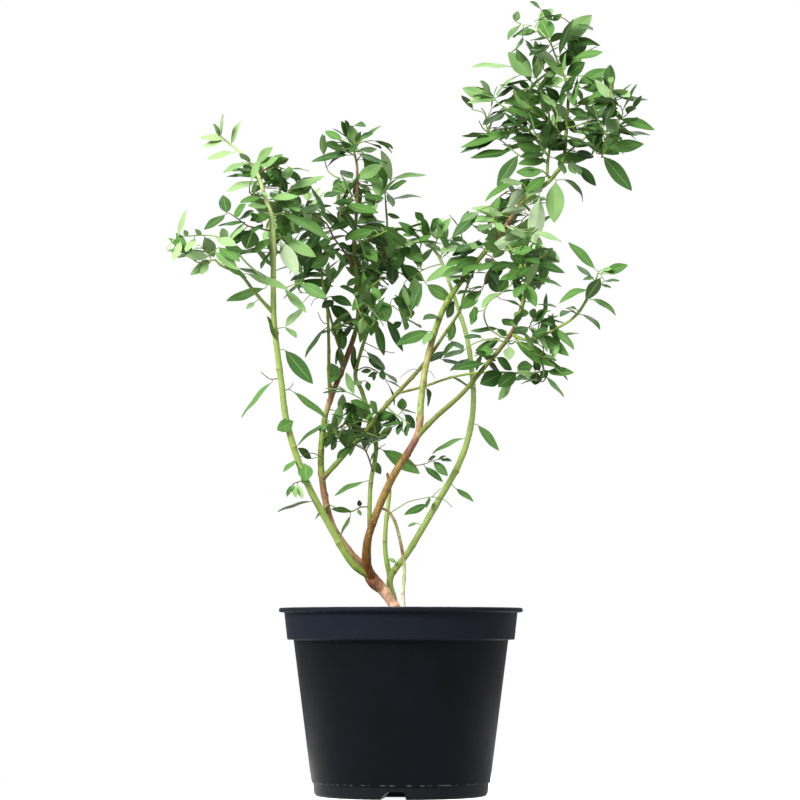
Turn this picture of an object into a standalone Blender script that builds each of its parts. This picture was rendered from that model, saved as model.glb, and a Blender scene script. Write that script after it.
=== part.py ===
"""A blueberry bush in a round nursery pot, in metres, with +Z up and -Y towards the viewer.

The origin is the middle of the pot's flat underside. The pot is one thin moulded wall with a raised band,
a flanged lip and three drain channels under its floor. One leaning trunk ends in a knot with four canes, and a
green shoot and a thin dead stem rise beside it. The canes fork into boughs, and each bough ends inside a mass
of foliage. The masses are uneven solids, cut flat where two of them meet and hollowed round the boughs.
"""

import math

import bmesh
import bpy
from mathutils import Matrix, Vector, noise

MM = 0.001
GAP = 0.3 * MM  # left between pieces that touch

# The pot
POT_HEIGHT = 0.176
LIP_RADIUS = 0.115
LIP_THICKNESS = 0.0042
LIP_ROUNDING = 0.0012
BAND_TOP_RADIUS = 0.110
BAND_FOOT_RADIUS = 0.1072
BAND_FOOT_HEIGHT = 0.146
BODY_TOP_RADIUS = 0.1013
BODY_FOOT_RADIUS = 0.0841
BODY_FOOT_HEIGHT = 0.013
FOOT_TOP_RADIUS = 0.0825
FOOT_RADIUS = 0.0815
FOOT_ROUNDING = 0.004
WALL = 0.0018
FLOOR = 0.0022
POT_SEGMENTS = 36

# The drain channels, moulded upwards into the floor
CHANNEL_COUNT = 3
CHANNEL_TURN = math.radians(-95.3)  # the first one shows at the front, a little left of the middle
CHANNEL_WIDTH = 0.024
CHANNEL_HEIGHT = 0.0075
CHANNEL_START = 0.026
DRAIN_RADIUS = 0.0045
DRAIN_PLACE = 0.055
DRAIN_SEGMENTS = 8

CUTTER_BELOW = 0.005  # how far the cutters reach out of the pot, below and past it
CUTTER_PAST = 0.01

# The compost
SOIL_HEIGHT = 0.156

# Limbs, each from its foot to its tip: across, away, up and radius, in millimetres
TRUNK = [
    (5, 2, 156.3, 8.6),
    (0, 1, 167, 5.8),
    (-6, 0, 177, 4.9),
    (-16, -2, 192, 4.9),
    (-23, -4, 200, 7.0),
    (-30, -6, 208, 5.6),
]
CANE_LEFT = [
    (-27, -7, 205, 4.2),
    (-46, -14, 218, 4.1),
    (-66, -22, 251, 4.0),
    (-90, -34, 297, 3.9),
    (-106, -45, 346, 3.5),
    (-112, -52, 389, 3.1),
]
CANE_LEFT_TOP = [
    (-112, -52, 389, 2.9),
    (-118, -59, 438, 2.7),
    (-119, -60, 470, 2.5),
    (-119, -60, 517, 2.3),
]
BOUGH_LEFT_ARM = [
    (-118, -59, 449, 1.6),
    (-135, -70, 471, 1.5),
    (-148, -84, 486, 1.4),
    (-164, -98, 492, 1.3),
]
CANE_MIDDLE = [
    (-27, -3, 204, 3.4),
    (-37, 2, 217, 3.4),
    (-50, 6, 231, 3.3),
    (-67, 10, 259, 3.2),
    (-76, 15, 307, 3.1),
]
CANE_MIDDLE_TOP = [
    (-76, 15, 307, 2.9),
    (-74, 20, 351, 2.7),
    (-66, 25, 380, 2.6),
    (-52, 30, 417, 2.7),
    (-42, 34, 451, 2.2),
    (-42, 38, 488, 2.0),
]
BOUGH_MIDDLE_LEFT = [
    (-67, 24, 376, 2.0),
    (-69, 19, 398, 1.9),
    (-69, 12, 426, 1.7),
    (-70, 4, 457, 1.5),
]
BOUGH_MIDDLE_RIGHT = [
    (-75, 13.5, 299, 2.4),
    (-59, 12, 316, 2.3),
    (-34, 8, 344, 2.2),
    (-10, 6, 373, 2.1),
    (21, 6, 407, 1.8),
    (43, 8, 439, 1.5),
    (56, 12, 459, 1.3),
]
BOUGH_LOW_RIGHT = [
    (-4, 6, 380, 1.2),
    (18, 2, 385, 1.2),
    (47, -4, 394, 1.1),
    (70, -18, 397, 1.1),
    (90, -29, 397, 1.0),
]
CANE_RIGHT = [
    (-28, -8, 205, 3.8),
    (-33, -17, 224, 3.8),
    (-28, -22, 251, 3.6),
    (-9, -26, 296, 3.5),
    (15, -28, 337, 3.4),
]
BOUGH_HIGH_RIGHT = [
    (15, -28, 337, 3.1),
    (19, -25, 371, 3.0),
    (25, -18, 411, 2.9),
    (39, -8, 456, 2.7),
    (57, 0, 486, 2.4),
]
BOUGH_HIGH_RIGHT_TOP = [
    (57, 0, 486, 2.2),
    (79, 6, 514, 2.3),
    (99, 8, 539, 2.2),
    (117, 8, 564, 2.1),
    (140, 5, 582, 2.0),
]
BOUGH_RIGHT = [
    (13, -28, 334, 2.6),
    (30, -33, 354, 2.7),
    (55, -40, 376, 2.6),
    (77, -48, 400, 2.5),
    (92, -53, 416, 2.4),
    (104, -58, 433, 2.1),
    (113, -61, 456, 1.8),
    (116, -62, 474, 1.6),
]
BOUGH_RIGHT_ARM = [
    (103, -57, 430, 1.4),
    (120, -64, 424, 1.4),
    (147, -76, 435, 1.3),
    (162, -86, 445, 1.3),
    (172, -96, 460, 1.2),
]
SHOOT_FOOT = [
    (-3, 13, 156.3, 4.2),
    (-4, 12, 172, 3.4),
    (-7, 12, 185, 3.2),
    (-10, 12, 205, 3.1),
]
SHOOT_STUB = [
    (-10, 12, 203, 2.3),
    (-15, 15, 231, 2.2),
    (-14, 17, 260, 2.1),
    (-11, 18, 286, 1.8),
    (-13, 18, 304, 1.3),
]
CANE_GREEN = [
    (-10, 12, 202, 2.9),
    (8, 17, 231, 3.0),
    (35, 26, 277, 3.0),
    (55, 33, 313, 3.0),
    (66, 39, 345, 2.8),
    (70, 44, 381, 2.6),
]
CANE_GREEN_TOP = [
    (70, 44, 381, 2.4),
    (65, 49, 432, 2.3),
    (54, 52, 471, 1.9),
    (39, 54, 513, 1.6),
]
CANE_SLIM = [
    (-26, -1, 203, 2.1),
    (-30, 9, 216, 2.1),
    (-30, 12, 255, 2.1),
    (-29, 16, 293, 2.1),
    (-24, 23, 334, 2.1),
]
CANE_SLIM_TOP = [
    (-24, 23, 334, 1.9),
    (-37, 33, 382, 2.1),
    (-44, 38, 399, 2.0),
    (-39, 44, 423, 1.7),
    (-29, 52, 455, 1.5),
    (-23, 57, 490, 1.4),
]
STEM_DEAD = [
    (4, -12, 156.3, 1.9),
    (2, -8, 189, 1.6),
    (3, -4, 216, 1.6),
    (-3, 0, 249, 1.5),
    (-10, 2, 265, 1.3),
    (-17, 2, 270, 1.0),
]

# Each limb with the limbs that it springs from or is crowded by, which cut its foot back
LIMBS = {
    "trunk": (TRUNK, []),
    "cane_right": (CANE_RIGHT, ["trunk"]),
    "cane_left": (CANE_LEFT, ["trunk", "cane_right"]),
    "cane_middle": (CANE_MIDDLE, ["trunk", "cane_right", "cane_left"]),
    "cane_slim": (CANE_SLIM, ["trunk", "cane_right", "cane_left", "cane_middle"]),
    "cane_left_top": (CANE_LEFT_TOP, ["cane_left"]),
    "bough_left_arm": (BOUGH_LEFT_ARM, ["cane_left_top"]),
    "bough_middle_right": (BOUGH_MIDDLE_RIGHT, ["cane_middle"]),
    "cane_middle_top": (CANE_MIDDLE_TOP, ["cane_middle", "bough_middle_right"]),
    "bough_middle_left": (BOUGH_MIDDLE_LEFT, ["cane_middle_top"]),
    "bough_low_right": (BOUGH_LOW_RIGHT, ["bough_middle_right"]),
    "bough_high_right": (BOUGH_HIGH_RIGHT, ["cane_right"]),
    "bough_high_right_top": (BOUGH_HIGH_RIGHT_TOP, ["bough_high_right"]),
    "bough_right": (BOUGH_RIGHT, ["cane_right", "bough_high_right"]),
    "bough_right_arm": (BOUGH_RIGHT_ARM, ["bough_right"]),
    "shoot_foot": (SHOOT_FOOT, ["trunk"]),
    "cane_green": (CANE_GREEN, ["shoot_foot"]),
    "shoot_stub": (SHOOT_STUB, ["shoot_foot", "cane_green"]),
    "cane_green_top": (CANE_GREEN_TOP, ["cane_green"]),
    "cane_slim_top": (CANE_SLIM_TOP, ["cane_slim"]),
    "stem_dead": (STEM_DEAD, []),
}
THICK_LIMB = 3.2  # millimetres of radius from which a limb is rounder
THICK_SIDES = 8
THIN_SIDES = 6

# Masses of foliage: the middle and the half sizes across, away and up, in millimetres, and the lean in degrees
MASSES = {
    "foliage_left_tip": ((-163, -52, 610), (25, 17, 17), 35),
    "foliage_left_arm": ((-181, -103, 508), (37, 32, 28), 0),
    "foliage_left_upper": ((-130, -50, 572), (36, 38, 35), 0),
    "foliage_left_lower": ((-120, -60, 503), (28, 30, 30), 0),
    "foliage_left_inner": ((-95, -20, 551), (28, 36, 38), 0),
    "foliage_left_back": ((-99, 60, 547), (40, 46, 44), 0),
    "foliage_middle_top": ((-47, 48, 622), (38, 32, 28), 0),
    "foliage_middle_upper": ((-35, 62, 576), (42, 40, 32), 0),
    "foliage_middle_left": ((-79, 0, 504), (28, 36, 33), 0),
    "foliage_middle": ((-32, 50, 511), (32, 40, 38), 0),
    "foliage_middle_back": ((-29, 104, 530), (36, 36, 40), 0),
    "foliage_middle_front": ((-26, -38, 463), (31, 38, 35), 0),
    "foliage_middle_low": ((-53, 15, 449), (26, 28, 24), 0),
    "foliage_under_middle": ((-35, 35, 403), (22, 20, 18), 0),
    "foliage_low": ((-34, 5, 347), (44, 34, 28), 0),
    "foliage_green_top": ((26, 55, 528), (34, 36, 30), 0),
    "foliage_hanging": ((9, 25, 473), (14, 22, 34), 0),
    "foliage_fork": ((62, 0, 477), (20, 28, 30), 0),
    "foliage_right_upper": ((82, 8, 541), (36, 32, 24), 0),
    "foliage_right_middle": ((114, -50, 498), (36, 34, 34), 0),
    "foliage_right_neck": ((129, 5, 565), (29, 30, 33), 0),
    "foliage_right_back": ((113, 80, 558), (38, 48, 42), 0),
    "foliage_crest_left": ((85, 22, 645), (30, 32, 36), 0),
    "foliage_crest": ((137, -5, 642), (38, 36, 50), 0),
    "foliage_crest_top": ((146, -5, 718), (44, 28, 31), 0),
    "foliage_crest_right": ((198, -28, 636), (32, 32, 50), 0),
    "foliage_right_arm": ((120, -68, 428), (46, 28, 24), 0),
    "foliage_right_low": ((116, -40, 391), (44, 24, 17), 0),
    "foliage_right_tip": ((178, -100, 472), (32, 30, 36), 0),
}
SPRIGS = {
    "sprig_left": ((-102, -40, 297), (12, 12, 26), 0),
    "sprig_middle": ((-49, 12, 267), (22, 10, 9), 0),
    "sprig_right": ((19, 22, 278), (15, 12, 10), 0),
    "sprig_right_upper": ((38, 30, 312), (15, 10, 13), 0),
}
MASS_SEGMENTS = 12
MASS_RINGS = 7
SPRIG_SEGMENTS = 8
SPRIG_RINGS = 6
LUMP_SIZE = 1.6
LUMP_DEPTH = 0.34
LUMP_STEP = Vector((7.3, 3.1, 5.7))  # from one mass to the next, in the noise that shapes them
SPRIG_SEED = 51
POCKET_REACH = 1.35  # how far past a mass, as a share of its size, a limb is still cut out of it
REACH_STEPS = 4
CUT_TOLERANCE = 1e-7

PLASTIC = ("black plastic", (0.012, 0.013, 0.016, 1), 0.55)
COMPOST = ("compost", (0.035, 0.022, 0.014, 1), 0.95)
BARK = ("bark", (0.27, 0.14, 0.08, 1), 0.8)
RED_CANE = ("red cane", (0.18, 0.09, 0.03, 1), 0.6)
GREEN_CANE = ("green cane", (0.27, 0.42, 0.09, 1), 0.5)
DEAD_WOOD = ("dead wood", (0.36, 0.33, 0.22, 1), 0.8)
FOLIAGE = ("foliage", (0.05, 0.16, 0.045, 1), 0.6)
LIMB_COLOURS = {"trunk": BARK, "cane_right": RED_CANE, "stem_dead": DEAD_WOOD}


def material(finish):
    """The material of this name, made on its first use."""
    name, colour, roughness = finish
    found = bpy.data.materials.get(name)
    if found:
        return found
    made = bpy.data.materials.new(name)
    made.use_nodes = True
    shader = made.node_tree.nodes["Principled BSDF"]
    shader.inputs["Base Color"].default_value = colour
    shader.inputs["Roughness"].default_value = roughness
    made.diffuse_color = colour
    return made


def new_object(name, mesh_data, finish=None):
    """An object in the scene, with its material, from an edit mesh."""
    mesh = bpy.data.meshes.new(name)
    mesh_data.to_mesh(mesh)
    mesh_data.free()
    made = bpy.data.objects.new(name, mesh)
    bpy.context.scene.collection.objects.link(made)
    if finish:
        mesh.materials.append(material(finish))
    return made


def as_cutter(made):
    """Marks a helper that only cuts other pieces."""
    made.hide_render = True
    made.display_type = "WIRE"
    return made


def cut(piece, cutter):
    """Takes the cutter's shape out of the piece."""
    boolean = piece.modifiers.new(cutter.name, "BOOLEAN")
    boolean.operation = "DIFFERENCE"
    boolean.solver = "EXACT"
    boolean.object = cutter


def turned(profile, segments):
    """A closed solid turned from (radius, height) points, from the axis at its foot to the axis at its top."""
    made = bmesh.new()
    rings = []
    for radius, height in profile:
        if radius == 0:
            rings.append([made.verts.new((0, 0, height))])
            continue
        angles = (math.tau * step / segments for step in range(segments))
        rings.append([made.verts.new((radius * math.cos(a), radius * math.sin(a), height)) for a in angles])
    for lower, upper in zip(rings, rings[1:]):
        for step in range(segments):
            after = (step + 1) % segments
            if len(lower) == 1:
                made.faces.new((lower[0], upper[after], upper[step]))
            elif len(upper) == 1:
                made.faces.new((lower[step], lower[after], upper[0]))
            else:
                made.faces.new((lower[step], lower[after], upper[after], upper[step]))
    return made


def block(size, middle):
    """A box of this size about its middle."""
    made = bmesh.new()
    bmesh.ops.create_cube(made, size=1, matrix=Matrix.Translation(middle) @ Matrix.Diagonal((*size, 1)))
    return made


def outer_profile():
    corner = FOOT_ROUNDING * (1 - math.sqrt(0.5))
    return [
        (0, 0),
        (FOOT_RADIUS - FOOT_ROUNDING, 0),
        (FOOT_RADIUS - corner, corner),
        (FOOT_RADIUS, FOOT_ROUNDING),
        (FOOT_TOP_RADIUS, BODY_FOOT_HEIGHT - (BODY_FOOT_RADIUS - FOOT_TOP_RADIUS)),
        (BODY_FOOT_RADIUS, BODY_FOOT_HEIGHT),
        (BODY_TOP_RADIUS, BAND_FOOT_HEIGHT),
        (BAND_FOOT_RADIUS, BAND_FOOT_HEIGHT),
        (BAND_TOP_RADIUS, POT_HEIGHT - LIP_THICKNESS),
        (LIP_RADIUS - LIP_ROUNDING, POT_HEIGHT - LIP_THICKNESS),
        (LIP_RADIUS, POT_HEIGHT - LIP_THICKNESS + LIP_ROUNDING),
        (LIP_RADIUS, POT_HEIGHT - LIP_ROUNDING),
        (LIP_RADIUS - LIP_ROUNDING, POT_HEIGHT),
        (0, POT_HEIGHT),
    ]


def inner_profile(shrink, top):
    """The pot's inside, made smaller by a gap, up to this height."""
    thickness = WALL + shrink
    step_height = BAND_FOOT_HEIGHT + WALL + shrink
    band_rise = POT_HEIGHT - BAND_FOOT_HEIGHT
    band_slope = (BAND_TOP_RADIUS - BAND_FOOT_RADIUS) / band_rise
    return [
        (0, FLOOR + shrink),
        (FOOT_RADIUS - thickness - FOOT_ROUNDING / 2, FLOOR + shrink),
        (FOOT_TOP_RADIUS - thickness, BODY_FOOT_HEIGHT),
        (BODY_TOP_RADIUS - thickness, step_height),
        (BAND_FOOT_RADIUS - thickness, step_height),
        (BAND_FOOT_RADIUS - thickness + band_slope * (top - step_height), top),
        (0, top),
    ]


def channel_block(name, width, height, start, end):
    """A block along one drain channel, from below the floor."""
    size = (end - start, width, height + CUTTER_BELOW)
    middle = ((start + end) / 2, 0, (height - CUTTER_BELOW) / 2)
    return as_cutter(new_object(name, block(size, middle)))


def make_pot():
    """The pot's wall, hollowed, with the channels that run out through its foot, and the compost in it."""
    pot = new_object("pot", turned(outer_profile(), POT_SEGMENTS), PLASTIC)
    hollow_mesh = turned(inner_profile(0, POT_HEIGHT + CUTTER_PAST), POT_SEGMENTS)
    hollow = as_cutter(new_object("pot_hollow", hollow_mesh))
    cut(pot, hollow)
    soil = new_object("compost", turned(inner_profile(GAP, SOIL_HEIGHT), POT_SEGMENTS), COMPOST)
    start = CHANNEL_START
    past = BODY_FOOT_RADIUS + CUTTER_PAST
    for number in range(CHANNEL_COUNT):
        turn = CHANNEL_TURN + math.tau * number / CHANNEL_COUNT
        roof = channel_block(
            f"channel_roof_{number}", CHANNEL_WIDTH + 2 * WALL, CHANNEL_HEIGHT + WALL, start - WALL, past
        )
        clearance = channel_block(
            f"channel_clearance_{number}",
            CHANNEL_WIDTH + 2 * WALL + 2 * GAP,
            CHANNEL_HEIGHT + WALL + GAP,
            start - WALL - GAP,
            past,
        )
        channel = channel_block(f"channel_{number}", CHANNEL_WIDTH, CHANNEL_HEIGHT, start, past)
        drain_mesh = bmesh.new()
        bmesh.ops.create_cone(
            drain_mesh,
            cap_ends=True,
            segments=DRAIN_SEGMENTS,
            radius1=DRAIN_RADIUS,
            radius2=DRAIN_RADIUS,
            depth=2 * CHANNEL_HEIGHT,
            matrix=Matrix.Translation((DRAIN_PLACE, 0, CHANNEL_HEIGHT)),
        )
        drain = as_cutter(new_object(f"drain_{number}", drain_mesh))
        for helper in (roof, clearance, channel, drain):
            helper.rotation_euler.z = turn
        cut(hollow, roof)
        cut(soil, clearance)
        cut(pot, channel)
        cut(pot, drain)


def on_curve(points, span, share):
    """A point of the smooth curve through all the route's points, this share of the way along one span."""
    before = points[max(span - 1, 0)]
    first = points[span]
    second = points[span + 1]
    after = points[min(span + 2, len(points) - 1)]
    return 0.5 * (
        2 * first
        + (second - before) * share
        + (2 * before - 5 * first + 4 * second - after) * share**2
        + (3 * first - before - 3 * second + after) * share**3
    )


def centre_line(route, steps):
    """The smooth centre line of a route as (point, radius) pairs, in metres."""
    points = [Vector((x, y, z, radius)) * MM for x, y, z, radius in route]
    found = []
    for span in range(len(points) - 1):
        found += [on_curve(points, span, step / steps) for step in range(steps)]
    found.append(points[-1])
    return [(point.xyz, point.w) for point in found]


def limb_mesh(route, swell=0.0, flat_foot=False):
    """A tapering limb with flat ends, made larger all round by the swell."""
    thick = route[0][3] >= THICK_LIMB
    sides = THICK_SIDES if thick else THIN_SIDES
    line = centre_line(route, 2 if thick else 1)
    count = len(line)
    made = bmesh.new()
    side = None
    rings = []
    for index, (point, radius) in enumerate(line):
        along = (line[min(index + 1, count - 1)][0] - line[max(index - 1, 0)][0]).normalized()
        if index == 0 and flat_foot:
            along = Vector((0, 0, 1))
        side = (Vector((0, 1, 0)) if side is None else side).copy()
        side = (side - along * side.dot(along)).normalized()
        other = along.cross(side)
        if index == 0:
            point = point - along * swell
        if index == count - 1:
            point = point + along * swell
        reach = radius + swell / math.cos(math.pi / sides)
        angles = (math.tau * step / sides for step in range(sides))
        rings.append([made.verts.new(point + (side * math.cos(a) + other * math.sin(a)) * reach) for a in angles])
    for lower, upper in zip(rings, rings[1:]):
        for step in range(sides):
            after = (step + 1) % sides
            made.faces.new((lower[step], lower[after], upper[after], upper[step]))
    made.faces.new(reversed(rings[0]))
    made.faces.new(rings[-1])
    return made


def make_limbs():
    """All limbs, each cut back where it springs from another. Returns the shapes that cut them out of foliage."""
    stands_on_soil = {name for name, (route, _) in LIMBS.items() if route[0][2] * MM < SOIL_HEIGHT + 2 * GAP}
    cutters = {}
    for name, (route, parents) in LIMBS.items():
        flat = name in stands_on_soil
        limb = new_object(name, limb_mesh(route, flat_foot=flat), LIMB_COLOURS.get(name, GREEN_CANE))
        for parent in parents:
            cut(limb, cutters[parent])
        cutters[name] = as_cutter(new_object(f"round_{name}", limb_mesh(route, GAP, flat)))
    return cutters


def half_size_matrix(half_sizes, lean):
    """Turns a unit ball's points into the mass's, about its middle."""
    turn = Matrix.Rotation(math.radians(lean), 3, "Y")
    return turn @ Matrix.Diagonal(Vector(half_sizes) * MM)


def mass_mesh(middle, half_sizes, lean, segments, rings, seed):
    """An uneven closed ball of foliage."""
    shape = half_size_matrix(half_sizes, lean)
    made = bmesh.new()
    bmesh.ops.create_uvsphere(made, u_segments=segments, v_segments=rings, radius=1)
    for vertex in made.verts:
        place = vertex.co * LUMP_SIZE + LUMP_STEP * seed
        vertex.co = shape @ (vertex.co * (1 + LUMP_DEPTH * noise.noise(place))) + Vector(middle) * MM
    return made


def parting(first, second):
    """The direction in which two masses are best told apart by a flat cut."""
    spread = Matrix(((0, 0, 0), (0, 0, 0), (0, 0, 0)))
    for _, half_sizes, lean in (first, second):
        shape = half_size_matrix(half_sizes, lean)
        spread = spread + shape @ shape.transposed()
    apart = (Vector(second[0]) - Vector(first[0])) * MM
    return (spread.inverted() @ apart).normalized()


def slice_off(mesh_data, point, normal):
    """Cuts away what lies past a plane and closes the cut."""
    geometry = mesh_data.verts[:] + mesh_data.edges[:] + mesh_data.faces[:]
    found = bmesh.ops.bisect_plane(
        mesh_data, geom=geometry, dist=CUT_TOLERANCE, plane_co=point, plane_no=normal, clear_outer=True
    )
    rim = [edge for edge in found["geom_cut"] if isinstance(edge, bmesh.types.BMEdge)]
    bmesh.ops.holes_fill(mesh_data, edges=rim, sides=0)
    bmesh.ops.recalc_face_normals(mesh_data, faces=mesh_data.faces[:])


def part_masses(meshes, sizes):
    """Cuts each two masses that would meet flat, with the gap between them."""
    names = list(meshes)
    for index, name in enumerate(names):
        for other in names[index + 1 :]:
            normal = parting(sizes[name], sizes[other])
            near = Vector(sizes[name][0]) * MM
            far = Vector(sizes[other][0]) * MM
            reach = max(normal.dot(vertex.co - near) for vertex in meshes[name].verts)
            back = max(normal.dot(far - vertex.co) for vertex in meshes[other].verts)
            apart = normal.dot(far - near)
            if reach + back + GAP < apart:
                continue
            place = near + normal * (apart * reach / (reach + back))
            slice_off(meshes[name], place - normal * GAP / 2, normal)
            slice_off(meshes[other], place + normal * GAP / 2, -normal)


def enters(route, size):
    """Whether a limb comes near enough to a mass to be cut out of it."""
    middle, half_sizes, lean = size
    inward = half_size_matrix(half_sizes, lean).inverted()
    line = centre_line(route, REACH_STEPS)
    return any((inward @ (point - Vector(middle) * MM)).length < POCKET_REACH for point, _ in line)


def make_masses(cutters):
    """All masses and sprigs of foliage, parted from each other and hollowed round the limbs."""
    meshes = {}
    for seed, (name, (middle, half_sizes, lean)) in enumerate(MASSES.items(), 1):
        meshes[name] = mass_mesh(middle, half_sizes, lean, MASS_SEGMENTS, MASS_RINGS, seed)
    for seed, (name, (middle, half_sizes, lean)) in enumerate(SPRIGS.items(), SPRIG_SEED):
        meshes[name] = mass_mesh(middle, half_sizes, lean, SPRIG_SEGMENTS, SPRIG_RINGS, seed)
    sizes = {**MASSES, **SPRIGS}
    part_masses(meshes, sizes)
    for name, mesh_data in meshes.items():
        foliage = new_object(name, mesh_data, FOLIAGE)
        for limb, (route, _) in LIMBS.items():
            if enters(route, sizes[name]):
                cut(foliage, cutters[limb])


def main():
    for existing in list(bpy.data.objects):
        bpy.data.objects.remove(existing)
    make_pot()
    make_masses(make_limbs())


main()
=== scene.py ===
"""A young blueberry bush in a black nursery pot: every surface's finish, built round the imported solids.

The file is laid out as a Blender add-on and is run as a script. Everything is in metres, +Z is up, the
origin is the middle of the pot's flat underside and the viewer stands on the -Y side.

The limbs follow the solids' own centre lines and run on into the crown. In the crown the main shoots and
the leaves that stand out are placed where the viewer sees them, each one carried by the limb or the shoot
that is nearest to it. All other shoots and leaves grow by a seeded rule inside the room of the masses that
they replace.
"""

import math
import random
from typing import NamedTuple

import bmesh
import bpy
import numpy as np
from bpy.props import EnumProperty, FloatProperty, FloatVectorProperty, IntProperty, PointerProperty
from bpy.types import Operator, Panel, PropertyGroup
from mathutils import Euler, Matrix, Vector, noise
from mathutils.bvhtree import BVHTree


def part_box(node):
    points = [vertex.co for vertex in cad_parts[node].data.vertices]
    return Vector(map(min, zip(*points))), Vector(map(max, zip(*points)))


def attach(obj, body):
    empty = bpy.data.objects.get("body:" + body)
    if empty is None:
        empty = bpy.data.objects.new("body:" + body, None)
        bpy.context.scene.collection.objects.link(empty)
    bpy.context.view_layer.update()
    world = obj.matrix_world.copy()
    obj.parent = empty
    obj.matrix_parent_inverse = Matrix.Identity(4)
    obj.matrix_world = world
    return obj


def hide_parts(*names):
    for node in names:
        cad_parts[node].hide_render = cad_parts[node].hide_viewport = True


bl_info = {
    "name": "Potted blueberry bush",
    "version": (1, 0, 0),
    "blender": (4, 5, 0),
    "location": "3D View > Sidebar > Bush",
    "description": "Builds a blueberry bush in its nursery pot round a packed frame",
    "category": "Object",
}

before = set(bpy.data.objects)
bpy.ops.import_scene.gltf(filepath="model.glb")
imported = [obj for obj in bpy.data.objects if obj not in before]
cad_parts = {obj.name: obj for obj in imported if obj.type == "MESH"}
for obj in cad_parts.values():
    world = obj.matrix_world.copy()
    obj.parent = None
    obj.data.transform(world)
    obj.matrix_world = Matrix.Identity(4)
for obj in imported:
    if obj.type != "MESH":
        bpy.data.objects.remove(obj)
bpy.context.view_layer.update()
BODY = "root"
MM = 0.001

# The camera stands where the photograph was taken from
PHOTO_SIDE = 800  # pixels
PHOTO_MIDDLE = PHOTO_SIDE / 2
SENSOR_WIDTH = 36.0  # millimetres
METRES_PER_PIXEL = 0.00095  # at the pot's middle
CAMERA_AWAY = 2.755
CAMERA_HEIGHT = 0.147
CAMERA_TILT = math.radians(4.69)
CAMERA_TURN = math.atan(METRES_PER_PIXEL / CAMERA_AWAY)  # the pot's axis is one pixel right of the middle
FOCUS_PIXELS = CAMERA_AWAY / METRES_PER_PIXEL / math.cos(CAMERA_TILT)
CAMERA_PLACE = Matrix.Translation((0, -CAMERA_AWAY, CAMERA_HEIGHT)) @ Euler(
    (math.pi / 2 + CAMERA_TILT, 0, CAMERA_TURN)
).to_matrix().to_4x4()
CAMERA_POINT = CAMERA_PLACE.translation
TO_CAMERA = CAMERA_PLACE.inverted()


def seen_at(across, down, away):
    """The point that the photograph shows at this pixel, this many millimetres behind the pot's axis."""
    ray = CAMERA_PLACE.to_3x3() @ Vector((across - PHOTO_MIDDLE, PHOTO_MIDDLE - down, -FOCUS_PIXELS))
    return CAMERA_POINT + ray * ((away * MM - CAMERA_POINT.y) / ray.y)


def pixel_of(point):
    """(across, down) of a point in the photograph."""
    seen = TO_CAMERA @ point
    return PHOTO_MIDDLE - FOCUS_PIXELS * seen.x / seen.z, PHOTO_MIDDLE + FOCUS_PIXELS * seen.y / seen.z


def colour(red, green, blue):
    """A colour as light values, from the usual 0 to 255 ones."""
    shares = (value / 255 for value in (red, green, blue))
    return (*(s / 12.92 if s <= 0.04045 else ((s + 0.055) / 1.055) ** 2.4 for s in shares), 1.0)


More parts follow.
